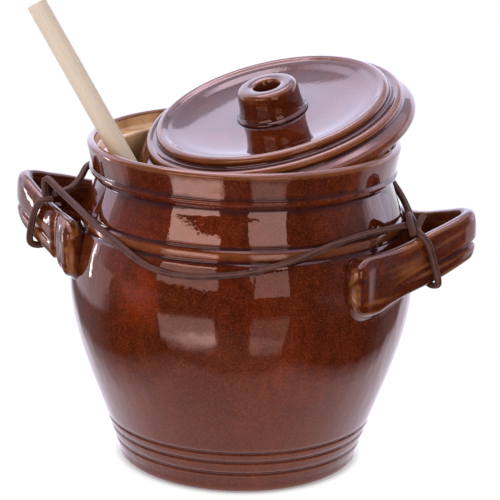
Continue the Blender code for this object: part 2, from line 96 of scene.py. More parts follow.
# A turned profile's first spacing, how often its corners are eased, the longest step and sharpest turn
# that are kept, and how far round a point its hollow is felt
PROFILE_SPACING = 0.55 * MM
PROFILE_ROUNDING = 3
PROFILE_STEP = 4.0 * MM
PROFILE_TURN = math.radians(4.5)
HOLLOW_REACH = 2.4 * MM

# The strap handles: reach from the crock axis, side reach, height, half height and half thickness
STRAP_ROUTE_MM = (
    (83.7, -78.6, 143.0, 19.5, 6.5),
    (97.0, -62.5, 143.0, 19.5, 6.5),
    (106.0, -50.5, 145.5, 18.0, 6.0),
    (116.5, -40.0, 149.5, 17.0, 5.5),
    (126.5, -30.5, 153.5, 16.7, 5.5),
    (136.5, -20.0, 157.5, 16.6, 5.5),
    (145.0, -10.0, 161.5, 16.6, 5.5),
    (149.0, 0.0, 163.0, 16.6, 5.5),
)
STRAP_SQUARENESS = 2.8
STRAP_HOLLOW_REACH = 2.0 * MM
# The groove's level, half width and depth, as shares of the section
STRAP_GROOVE = ((-0.26, 0.12, 0.32),)
STRAP_GROOVE_FADE = (22.0 * MM, 50.0 * MM)
STRAP_CORNER = 14.0 * MM
STRAP_NOSE = 4.5 * MM
# The strap's slow waves in height and thickness, and the glaze's streaks along it and across it
STRAP_WAVES = (9.0 * MM, 6.5 * MM)
STRAP_WAVE_START = 40.0 * MM
STREAK_SIZE = (34.0 * MM, 4.5 * MM)
STREAK_DEPTH = 0.6
STRAP_THIN = 0.03
STRAP_TIP_SHARE = 0.28
# Clay behind a strap's tip, and the glaze on it: distance, half width and change
STRAP_ROLLS = ((8.0 * MM, 4.0 * MM, 1.1 * MM), (19.0 * MM, 4.5 * MM, -0.66 * MM))
STRAP_GLAZE = ((2.0 * MM, 1.2 * MM, -0.34), (5.5 * MM, 1.5 * MM, 0.30))
# The fold of a pad that was pressed short, counted from its crease
CREASE_DENT = ((0.0, 2.6 * MM, 3.2 * MM),)
CREASE_CLAY = ((0.0, 2.6 * MM, -1.6 * MM), (-8.0 * MM, 4.0 * MM, 1.3 * MM))
# How far luting clay spreads, as a share of its reach, the glaze pooled in it, and the least side it needs
LUTING_SPREAD = 0.9
LUTING_POOL = 0.6
LUTING_SIDE = 1.0 * MM

# Each handle's node, azimuth and lift, how much shorter its last pad was pressed, and where its crease lies
HANDLES = (
    ("right_handle", math.radians(-11.0), 0.0, 0.0, 0.0),
    ("left_handle", math.radians(169.0), 6.0 * MM, 19.0 * MM, 26.0 * MM),
)

# The lid and knob, heights counted from the seat under the flange
LID_TOP_MM = (
    (17.5, 8.6), (17.5, 24.4), (17.8, 45.0), (19.2, 60.0), (20.8, 68.0), (21.0, 70.4), (22.5, 73.6),
    (22.5, 75.8), (21.4, 77.6), (19.8, 78.3), (18.2, 78.1), (16.7, 79.1), (16.4, 81.0), (17.0, 83.2),
    (16.6, 85.0), (15.2, 86.3), (13.6, 86.5), (12.2, 85.6), (10.6, 86.1), (9.4, 88.2), (8.4, 90.4),
    (6.6, 92.2), (4.2, 92.8), (1.8, 92.2), (0.4, 90.6), (0.0, 88.6),
)
LID_COLLAR_MM = (
    (0.0, 81.2), (-1.4, 79.8), (-8.4, 79.8), (-9.8, 78.4), (-9.8, 75.7), (-8.4, 74.3),
)
LID_UNDER_MM = ((2.0, 74.4), (7.0, 71.0), (10.6, 64.0), (11.2, 50.0), (10.6, 24.0), (10.3, 8.6))
LID_TILT = math.radians(17.63)
LID_LOW_AZIMUTH = math.radians(219.57)
LID_CENTRE = Vector((22.5, 18.6, 215.2)) * MM
KNOB_OUTLINE_MM = (
    (17.2, 8.6), (18.7, 9.3), (19.5, 11.4), (19.7, 14.6), (19.3, 17.4), (17.9, 19.2), (15.4, 20.0),
    (8.0, 20.6), (4.0, 21.3), (2.1, 22.2), (0.9, 23.6), (0.0, 24.0), (0.0, 8.6),
)
KNOB_SEAT_HEIGHT = 17.8 * MM
LID_SPACING = 0.5 * MM
# Glaze pools this deep, and this far on both sides of the line where the knob stands
KNOB_POOL = 0.35
KNOB_POOL_REACH = 3.0 * MM
LID_TOP_LEVEL = 15.0 * MM
# The lid's lined underside lies below its flange, or inside this radius and below this height
LID_FLANGE_LEVEL = 1.0 * MM
LID_HOLLOW = (80.0 * MM, 12.0 * MM)

# The stick
STICK_RADIUS = 6.55 * MM
STICK_LENGTH = 340.0 * MM
STICK_EDGE = 0.8 * MM
STICK_SIDES = 48
STICK_LEAN = math.radians(31.2)
STICK_AZIMUTH = math.radians(166.6)
STICK_FOOT = Vector((36.7, -43.8, 12.4)) * MM

# The leather thong's four lengths, and how often their bends are eased
LACE_ROUNDING = 3
FRONT_THONG_MM = (
    (-128.5, -12.0, 177.3), (-129.4, -11.0, 182.0), (-129.9, -9.6, 187.0), (-128.8, -9.5, 190.3),
    (-125.0, -13.5, 188.6), (-116.0, -24.5, 183.2), (-105.0, -40.0, 178.0), (-96.3, -52.6, 173.8),
    (-88.9, -62.3, 170.4), (-76.4, -79.3, 165.4), (-65.1, -90.8, 160.0), (-54.7, -98.5, 156.2),
    (-40.8, -105.4, 154.6), (-25.9, -109.9, 155.0), (-11.1, -111.9, 156.6), (5.4, -111.7, 158.8),
    (15.2, -110.1, 161.1), (30.0, -106.0, 164.7), (44.7, -99.2, 168.8), (59.8, -89.4, 172.7),
    (75.2, -76.0, 174.5), (90.5, -65.5, 175.3), (100.0, -58.5, 175.9), (104.6, -55.1, 175.7),
)
BACK_THONG_MM = (
    (-123.2, -10.5, 179.8), (-118.0, -5.6, 180.2), (-112.0, -0.5, 182.0), (-107.2, 6.5, 187.0),
    (-104.0, 14.5, 192.3), (-98.8, 25.8, 192.8), (-88.9, 46.0, 192.3), (-70.7, 70.9, 192.3),
    (-45.4, 89.2, 192.3), (-15.1, 99.0, 192.3), (20.2, 98.1, 192.3), (50.4, 86.5, 192.3),
    (74.6, 66.8, 192.2), (87.7, 49.3, 190.8), (95.6, 37.8, 186.6), (102.0, 27.0, 180.5),
    (107.0, 17.5, 174.0), (110.8, 5.0, 167.6), (112.6, -10.0, 165.4), (112.3, -25.0, 168.0),
    (110.0, -38.0, 173.4), (106.6, -48.0, 179.9), (105.2, -54.0, 181.7), (106.0, -59.2, 179.1),
    (107.4, -61.4, 174.6), (108.2, -61.6, 170.8),
)
LEFT_KNOT_MM = (
    (-124.6, -14.6, 177.2), (-127.2, -16.6, 177.4), (-130.4, -16.4, 177.2), (-132.8, -14.2, 175.6),
    (-134.6, -12.6, 171.6), (-136.8, -10.7, 166.0), (-138.7, -7.3, 158.0), (-140.1, -4.6, 151.0),
    (-140.6, -2.4, 146.0), (-139.6, -0.6, 142.6), (-134.4, 2.2, 141.2), (-129.4, 4.8, 142.4),
    (-126.8, 5.4, 146.4), (-125.6, 3.0, 154.5), (-123.2, -0.6, 163.5), (-121.6, -3.6, 171.0),
)
RIGHT_KNOT_MM = (
    (115.6, -46.0, 180.6), (113.0, -50.8, 176.6), (111.0, -55.4, 172.8), (112.4, -59.6, 171.2),
    (115.2, -62.4, 169.6), (117.6, -64.0, 166.6), (119.4, -63.4, 162.0), (121.6, -62.0, 155.0),
    (123.8, -60.4, 147.5), (125.6, -59.2, 141.0), (125.8, -57.2, 137.0), (122.8, -51.8, 134.9),
    (119.4, -47.2, 136.2), (117.4, -45.0, 140.4), (115.6, -46.0, 149.0), (112.8, -47.8, 157.5),
    (110.4, -49.4, 164.4),
)
THONGS = (
    ("front_thong", FRONT_THONG_MM),
    ("back_thong", BACK_THONG_MM),
    ("left_knot", LEFT_KNOT_MM),
    ("right_knot", RIGHT_KNOT_MM),
)

# The camera, fitted to the photograph
CAMERA_PLACE = Vector((0.0, -1.3342, 0.5240))
CAMERA_TARGET = Vector((0.0, 0.0, 0.1))
CAMERA_ROLL = math.radians(1.208)
CAMERA_LENS_MM = 150.35
CAMERA_SHIFT = (0.0192, 0.118)

# The floor reaches this far from the crock's axis, just under its foot
FLOOR_REACH = 4.0
FLOOR_LEVEL = -0.2 * MM

# The kinds of node that are used most
MATH = "ShaderNodeMath"
VECTOR_MATH = "ShaderNodeVectorMath"
RAMP = "ShaderNodeMapRange"
MIX = "ShaderNodeMix"
NOISE = "ShaderNodeTexNoise"
MAPPING = "ShaderNodeMapping"
BUMP = "ShaderNodeBump"
SEPARATE = "ShaderNodeSeparateXYZ"


def linear(code):
    """Turn an sRGB hex colour into linear red, green and blue."""
    values = []
    for start in (1, 3, 5):
        share = int(code[start : start + 2], 16) / 255
        values.append(share / 12.92 if share <= 0.04045 else ((share + 0.055) / 1.055) ** 2.4)
    return values


def add_node(tree, kind, inputs=None, **settings):
    """Add a node, set its properties, and set or link its inputs, where a node stands for its result."""
    node = tree.nodes.new(kind)
    for name, value in settings.items():
        setattr(node, name, value)
    for name, value in (inputs or {}).items():
        if isinstance(value, bpy.types.Node):
            value = next(socket for socket in value.outputs if socket.enabled)
        if isinstance(value, bpy.types.NodeSocket):
            tree.links.new(value, node.inputs[name])
        else:
            node.inputs[name].default_value = value
    return node


# Shapes


def corner(centre_radius, centre_height, radius, first_angle, last_angle, steps=12):
    """Give the points of a round corner in the radius and height plane."""
    points = []
    for step in range(steps + 1):
        angle = math.radians(first_angle + (last_angle - first_angle) * step / steps)
        points.append((centre_radius + radius * math.cos(angle), centre_height + radius * math.sin(angle)))
    return points


def blended(t, start, end, start_run, end_run):
    """Go a share t of the way between two ends on a cubic curve that leaves and meets them as they run."""
    place = (2 * t**3 - 3 * t**2 + 1) * start + (3 * t**2 - 2 * t**3) * end
    return place + (t**3 - 2 * t**2 + t) * start_run + (t**3 - t**2) * end_run


def eased_radius(height, low, high):
    """Blend two (height, radius, slope) ends."""
    span = high[0] - low[0]
    return blended((height - low[0]) / span, low[1], high[1], low[2] * span, high[2] * span)


def swells(value, rows):
    """Add up smooth swells at a value, each with its middle, half width and height."""
    return sum(rise * math.exp(-(((value - middle) / width) ** 2)) for middle, width, rise in rows)


def wall_radius(height):
    """Give the outer radius of the plain wall at a height."""
    if height < BELLY[0]:
        return eased_radius(height, WALL_START, BELLY)
    return eased_radius(height, BELLY, NECK)


def turned_wall():
    """Give the outer wall from the neck down to the foot, with its turned lines."""
    points = []
    levels = 320
    for level in range(levels + 1):
        height = NECK[0] + (WALL_START[0] - NECK[0]) * level / levels
        points.append((wall_radius(height) - swells(height, TURNED_LINES), height))
    return points


def crock_profile():
    """Give the crock's whole profile, from the floor inside over the lip to the base."""
    low = FLOOR_THICKNESS + FLOOR_CORNER_RADIUS
    levels = 60
    points = [(0.0, FLOOR_THICKNESS)]
    floor_radius = wall_radius(low) - WALL_THICKNESS - FLOOR_CORNER_RADIUS
    points += corner(floor_radius, low, FLOOR_CORNER_RADIUS, -90.0, 0.0)
    for level in range(1, levels + 1):
        height = low + (NECK[0] - low) * level / levels
        points.append((wall_radius(height) - WALL_THICKNESS, height))
    points.append((LEDGE_RADIUS, LEDGE_HEIGHT - LEDGE_DEPTH))
    edge = LEDGE_EDGE_RADIUS
    points += corner(LEDGE_RADIUS + edge, LEDGE_HEIGHT - edge, edge, 180.0, 90.0)
    points += [(MOUTH_RADIUS - MOUTH_FILLET, LEDGE_HEIGHT), (MOUTH_RADIUS, LEDGE_HEIGHT + MOUTH_FILLET)]
    edge = MOUTH_EDGE_RADIUS
    points += corner(MOUTH_RADIUS + edge, CROCK_HEIGHT - edge, edge, 180.0, 90.0)
    points += corner(LIP[0] - LIP[2], CROCK_HEIGHT - LIP[2], LIP[2], 90.0, 0.0)
    points += [((BAND_FOOT[0] + LIP[0]) / 2, (BAND_FOOT[1] + LIP[1]) / 2), BAND_FOOT]
    points += corner(BEAD[0] - BEAD[2], BEAD[1], BEAD[2], 50.0, -60.0)
    points += turned_wall()
    points += corner(FOOT_FLAT_RADIUS, FOOT_EDGE_RADIUS, FOOT_EDGE_RADIUS, 0.0, -90.0)
    return points + [(0.0, 0.0)]


def flipped(points_mm):
    """Turn (height, radius) pairs in millimetres into (radius, height) in metres."""
    return [(radius * MM, height * MM) for height, radius in points_mm]


def guarded(points, reach=1.1 * MM, sharp=math.radians(38)):
    """Put a point close before and after each sharp corner, so a smooth line keeps near it."""
    kept = []
    count = len(points)
    for index, point in enumerate(points):
        here = Vector(point)
        before = here - Vector(points[index - 1])
        after = Vector(points[(index + 1) % count]) - here
        turn = before.angle(after)
        if turn > sharp and before.length > 3 * reach:
            kept.append(tuple(here - before.normalized() * reach))
        kept.append(point)
        if turn > sharp and after.length > 3 * reach:
            kept.append(tuple(here + after.normalized() * reach))
    return kept


def smooth_loop(points, spacing):
    """Pass a smooth closed line through unevenly spaced points."""
    corners = [Vector(point) for point in points]
    count = len(corners)
    result = []
    for index in range(count):
        start, end = corners[index], corners[(index + 1) % count]
        before, after = corners[index - 1], corners[(index + 2) % count]
        first, span, last = (start - before).length, (end - start).length, (after - end).length
        start_slope = ((start - before) / first * span + (end - start) / span * first) / (first + span)
        end_slope = ((end - start) / span * last + (after - end) / last * span) / (span + last)
        steps = max(1, round(span / spacing))
        for step in range(steps):
            place = blended(step / steps, start, end, start_slope * span, end_slope * span)
            result.append(tuple(place))
    return result + [result[0]]


def even_line(points, spacing):
    """Add points along a line, so no step is longer than the spacing."""
    result = []
    for here, following in zip(points, points[1:]):
        steps = max(1, math.ceil(math.dist(here, following) / spacing))
        for step in range(steps):
            result.append(tuple(a + (b - a) * step / steps for a, b in zip(here, following)))
    return result + [points[-1]]


def rounded_line(points, passes):
    """Ease the corners of a line and keep its ends."""
    for _ in range(passes):
        inner = []
        for before, here, after in zip(points, points[1:], points[2:]):
            inner.append(tuple((a + 2 * b + c) / 4 for a, b, c in zip(before, here, after)))
        points = [tuple(points[0]), *inner, tuple(points[-1])]
    return points


def thinned_line(points, longest, turn):
    """Give the indices of the points to keep, fewer where a line runs nearly straight."""
    kept = [0]
    heading = math.atan2(points[1][1] - points[0][1], points[1][0] - points[0][0])
    for index in range(1, len(points) - 1):
        here, following = points[index], points[index + 1]
        ahead = math.atan2(following[1] - here[1], following[0] - here[0])
        change = abs(math.remainder(ahead - heading, math.tau))
        if change > turn or math.dist(points[kept[-1]], here) > longest:
            kept.append(index)
            heading = ahead
    return kept + [len(points) - 1]


def spline_points(points, samples):
    """Pass a smooth curve through points of any number of values."""
    first = [2 * a - b for a, b in zip(points[0], points[1])]
    last = [2 * a - b for a, b in zip(points[-1], points[-2])]
    ends = [first, *points, last]
    result = []
    for index in range(1, len(ends) - 2):
        group = list(zip(ends[index - 1], ends[index], ends[index + 1], ends[index + 2]))
        for sample in range(samples):
            t = sample / samples
            values = []
            for a, b, c, d in group:
                cubic = (3 * b - a - 3 * c + d) * t**3 + (2 * a - 5 * b + 4 * c - d) * t**2
                values.append(0.5 * (2 * b + (c - a) * t + cubic))
            result.append(values)
    result.append(list(points[-1]))
    return result


def run_lengths(points):
    """Give how far along a line each of its points lies."""
    lengths = [0.0]
    for here, following in zip(points, points[1:]):
        lengths.append(lengths[-1] + math.dist(here, following))
    return lengths


def even_points(route_mm, spacing):
    """Resample a smooth route at even spacing."""
    dense = [Vector(values) * MM for values in spline_points(route_mm, samples=24)]
    lengths = run_lengths(dense)
    count = max(2, round(lengths[-1] / spacing))
    points = []
    index = 0
    for step in range(count + 1):
        wanted = lengths[-1] * step / count
        while index < len(dense) - 2 and lengths[index + 1] < wanted:
            index += 1
        share = (wanted - lengths[index]) / (lengths[index + 1] - lengths[index])
        points.append(dense[index].lerp(dense[index + 1], share))
    return points


def hollow_depths(points, reach, closed=False):
    """Give how deep each point of a line lies in a hollow, in millimetres, or how far out on an edge.

    The solid lies to the right of the line's run."""
    lengths = run_lengths(points)
    places = np.array(points)
    runs = np.array(lengths)
    if closed:
        places = np.concatenate((places[:-1], places, places[1:]))
        runs = np.concatenate((runs[:-1] - runs[-1], runs, runs[1:] + runs[-1]))
    samples = np.linspace(-reach, reach, 17)
    depths = []
    for index, here in enumerate(points):
        wanted = np.clip(lengths[index] + samples, runs[0], runs[-1])
        across = np.interp(wanted, runs, places[:, 0])
        up = np.interp(wanted, runs, places[:, 1])
        run_across, run_up = across[-1] - across[0], up[-1] - up[0]
        span = math.hypot(run_across, run_up) or 1.0
        offset = (across.mean() - here[0]) * -run_up + (up.mean() - here[1]) * run_across
        depths.append(offset / span / MM)
    return depths


def placed_object(mesh):
    """Put a mesh into the scene as an object of the same name."""
    thing = bpy.data.objects.new(mesh.name, mesh)
    bpy.context.scene.collection.objects.link(thing)
    return thing


def line_object(name, points, marks=None):
    """Make an object of bare edges through points, with named values at the points."""
    mesh = bpy.data.meshes.new(name)
    mesh.from_pydata(points, [(index, index + 1) for index in range(len(points) - 1)], [])
    for label, values in (marks or {}).items():
        mesh.attributes.new(label, "FLOAT", "POINT").data.foreach_set("value", values)
    return placed_object(mesh)


def lofted_mesh(name, rings, material):
    """Skin closed rings of points to a smooth mesh with closed ends."""
    build = bmesh.new()
    rings = [[build.verts.new(place) for place in ring] for ring in rings]
    for ring, following in zip(rings, rings[1:]):
        for index in range(len(ring)):
            after = (index + 1) % len(ring)
            build.faces.new((ring[index], ring[after], following[after], following[index]))
    build.faces.new(rings[0])
    build.faces.new(list(reversed(rings[-1])))
    mesh = bpy.data.meshes.new(name)
    finish_mesh(build, mesh)
    mesh.polygons.foreach_set("use_smooth", [True] * len(mesh.polygons))
    mesh.materials.append(material)
    return mesh


def finish_mesh(build, mesh):
    """Write a built mesh with every face pointing outward."""
    bmesh.ops.recalc_face_normals(build, faces=build.faces)
    build.to_mesh(mesh)
    build.free()


def run_tree(target, tree, values):
    """Run a Geometry Nodes tree on an object and keep its result as a plain mesh."""
    modifier = target.modifiers.new(tree.name, "NODES")
    modifier.node_group = tree
    for item in tree.interface.items_tree:
        if item.in_out == "INPUT" and item.name in values:
            modifier[item.identifier] = values[item.name]
    target.update_tag()
    evaluated = target.evaluated_get(bpy.context.evaluated_depsgraph_get())
    mesh = bpy.data.meshes.new_from_object(evaluated)
    if not mesh.polygons:
        raise RuntimeError(f"{target.name}: the {tree.name} tree made no faces")
    old = target.data
    target.modifiers.clear()
    target.data = mesh
    bpy.data.meshes.remove(old)
    mesh.name = target.name
    build = bmesh.new()
    build.from_mesh(mesh)
    finish_mesh(build, mesh)


def new_tree(name, inputs):
    """Make an empty Geometry Nodes tree with its output, and give it with its inputs' sockets."""
    tree = bpy.data.node_groups.new(name, "GeometryNodeTree")
    for label, kind in inputs:
        tree.interface.new_socket(label, in_out="INPUT", socket_type="NodeSocket" + kind)
    tree.interface.new_socket("Geometry", in_out="OUTPUT", socket_type="NodeSocketGeometry")
    return tree, add_node(tree, "NodeGroupInput").outputs


def close_tree(tree, geometry, material):
    """End a tree in Realize Instances and Set Material."""
    real = add_node(tree, "GeometryNodeRealizeInstances", {"Geometry": geometry})
    dressed = add_node(tree, "GeometryNodeSetMaterial", {"Geometry": real, "Material": material})
    add_node(tree, "NodeGroupOutput", {0: dressed})


def turned_tree():
    """Build the tree that turns a profile on the wheel, with a potter's unevenness."""
    inputs = (
        ("Profile", "Geometry"),
        ("Steps", "Int"),
        ("Wobble", "Float"),
        ("Wobble Size", "Float"),
        ("Throwing Depth", "Float"),
        ("Throwing Pitch", "Float"),
        ("Glaze", "Material"),
    )
    tree, source = new_tree("Turned on the wheel", inputs)
    add = partial(add_node, tree)
    size = add("GeometryNodeAttributeDomainSize", {"Geometry": source["Profile"]})
    columns = add(MATH, {0: source["Steps"], 1: 1.0}, operation="ADD")
    # A grid one metre wide, which is the whole profile one way and the whole turn the other
    grid = add("GeometryNodeMeshGrid", {"Vertices X": size, "Vertices Y": columns})
    position = add("GeometryNodeInputPosition")
    flat = add(SEPARATE, {0: position}).outputs
    across = add(MATH, {0: flat["X"], 1: 0.5}, operation="ADD")
    last = add(MATH, {0: size, 1: 1.0}, operation="SUBTRACT")
    share = add(MATH, {0: across, 1: last}, operation="MULTIPLY")
    index = add(MATH, {0: share}, operation="ROUND")
    sample = {"Geometry": source["Profile"], "Index": index}
    station = add("GeometryNodeSampleIndex", {**sample, "Value": position}, data_type="FLOAT_VECTOR")
    marks = {}
    marked = grid
    for label in ("throwing", "glaze_depth", "lining"):
        value = add("GeometryNodeInputNamedAttribute", {"Name": label})
        marks[label] = add("GeometryNodeSampleIndex", {**sample, "Value": value})
        mark = {"Geometry": marked, "Name": label, "Value": marks[label]}
        marked = add("GeometryNodeStoreNamedAttribute", mark)
    profile = add(SEPARATE, {0: station}).outputs
    around = add(MATH, {0: flat["Y"], 1: 0.5}, operation="ADD")
    angle = add(MATH, {0: around, 1: math.tau}, operation="MULTIPLY")
    cosine = add(MATH, {0: angle}, operation="COSINE")
    sine = add(MATH, {0: angle}, operation="SINE")
    heading = add("ShaderNodeCombineXYZ", {0: cosine, 1: sine})
    reach = add(VECTOR_MATH, {0: heading, "Scale": profile["X"]}, operation="SCALE")
    rise = add("ShaderNodeCombineXYZ", {2: profile["Z"]})
    true_place = add(VECTOR_MATH, {0: reach, 1: rise}, operation="ADD")

    # The wall swings in and out over its whole height, and spiral finger marks cross the belly
    frequency = add(MATH, {0: 1.0, 1: source["Wobble Size"]}, operation="DIVIDE")
    clay = add(NOISE, {"Vector": true_place, "Scale": frequency, "Detail": 1.0})
    swing = add(RAMP, {0: clay, 3: -1.0, 4: 1.0})
    nearness = add(RAMP, {0: profile["X"], 2: 0.02})
    wobble = add(MATH, {0: swing, 1: source["Wobble"]}, operation="MULTIPLY")
    wobble = add(MATH, {0: wobble, 1: nearness}, operation="MULTIPLY")
    turns = add(MATH, {0: profile["Z"], 1: source["Throwing Pitch"]}, operation="DIVIDE")
    spiral = add(MATH, {0: turns, 1: math.tau, 2: angle}, operation="MULTIPLY_ADD")
    wave = add(MATH, {0: spiral}, operation="SINE")
    finger = add(MATH, {0: wave, 1: source["Throwing Depth"]}, operation="MULTIPLY")
    change = add(MATH, {0: finger, 1: marks["throwing"], 2: wobble}, operation="MULTIPLY_ADD")
    shift = add(VECTOR_MATH, {0: heading, "Scale": change}, operation="SCALE")
    made_place = add(VECTOR_MATH, {0: true_place, 1: shift}, operation="ADD")
    turned = add("GeometryNodeSetPosition", {"Geometry": marked, "Position": made_place})
    joined = add("GeometryNodeMergeByDistance", {"Geometry": turned, "Distance": 0.002 * MM})
    smooth = add("GeometryNodeSetShadeSmooth", {"Geometry": joined})
    close_tree(tree, smooth, source["Glaze"])
    return tree


def lace_tree():
    """Build the tree that sweeps a cut leather section along a route."""
    inputs = (
        ("Route", "Geometry"),
        ("Width", "Float"),
        ("Thickness", "Float"),
        ("Edge Radius", "Float"),
        ("Twist", "Float"),
        ("Leather", "Material"),
    )
    tree, source = new_tree("Leather lace", inputs)
    add = partial(add_node, tree)
    line = add("GeometryNodeMeshToCurve", {0: source["Route"]})
    along = add("GeometryNodeSplineParameter").outputs["Length"]
    turn = add(NOISE, {"W": along, "Scale": 14.0, "Detail": 1.0}, noise_dimensions="1D")
    swing = add(RAMP, {0: turn, 3: -1.0, 4: 1.0})
    tilt = add(MATH, {0: swing, 1: source["Twist"]}, operation="MULTIPLY")
    twisted = add("GeometryNodeSetCurveTilt", {"Curve": line, "Tilt": tilt})
    sides = {"Width": source["Width"], "Height": source["Thickness"]}
    section = add("GeometryNodeCurvePrimitiveQuadrilateral", sides)
    rounding = {"Curve": section, "Count": 4, "Radius": source["Edge Radius"]}
    rounded = add("GeometryNodeFilletCurve", rounding, mode="POLY")
    around = add("GeometryNodeSplineParameter").outputs["Factor"]
    mark = {"Geometry": rounded, "Name": "around", "Value": around}
    marked = add("GeometryNodeStoreNamedAttribute", mark)
    swept = add("GeometryNodeCurveToMesh", {"Curve": twisted, "Profile Curve": marked, "Fill Caps": True})
    smooth = add("GeometryNodeSetShadeSmooth", {"Geometry": swept})
    close_tree(tree, smooth, source["Leather"])
    return tree


def tilt_matrix(tilt, azimuth):
    """Lean the Z axis by a tilt toward an azimuth."""
    turn = Matrix.Rotation(azimuth, 4, "Z")
    return turn @ Matrix.Rotation(tilt, 4, "Y") @ turn.inverted()


def stand_in(piece, node, body):
    """Let a piece stand for a solid and ride on its body."""
    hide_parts(node)
    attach(piece, body)


# Materials


def new_material(name):
    """Make an empty material, and give it with its node tree."""
    material = bpy.data.materials.new(name)
    material.use_nodes = True
    material.node_tree.nodes.clear()
    return material, material.node_tree


def layered(tree, colour, *layers):
    """Lay colours over a first one, which is a colour or a node.

    Each layer has a pattern, the values between which it comes in, its greatest share and its colour."""
    if not isinstance(colour, bpy.types.Node):
        colour = (*colour, 1.0)
    for pattern, start, end, most, over in layers:
        share = add_node(tree, RAMP, {0: pattern, 1: start, 2: end, 4: most})
        colour = add_node(tree, MIX, {0: share, 6: colour, 7: (*over, 1.0)}, data_type="RGBA")
    return colour


def brightest(tree, *patches):
    """Give the brightest of some patches of light, each of them the product of its ramps.

    A ramp has a value and where it starts and ends. It goes from 0 to 1, or between two other numbers."""
    bright = 0.0
    for ramps in patches:
        patch = 1.0
        for value, start, end, *limits in ramps:
            low, high = limits or (0.0, 1.0)
            ramp = add_node(tree, RAMP, {0: value, 1: start, 2: end, 3: low, 4: high})
            patch = add_node(tree, MATH, {0: patch, 1: ramp}, operation="MULTIPLY")
        bright = add_node(tree, MATH, {0: bright, 1: patch}, operation="MAXIMUM")
    return bright


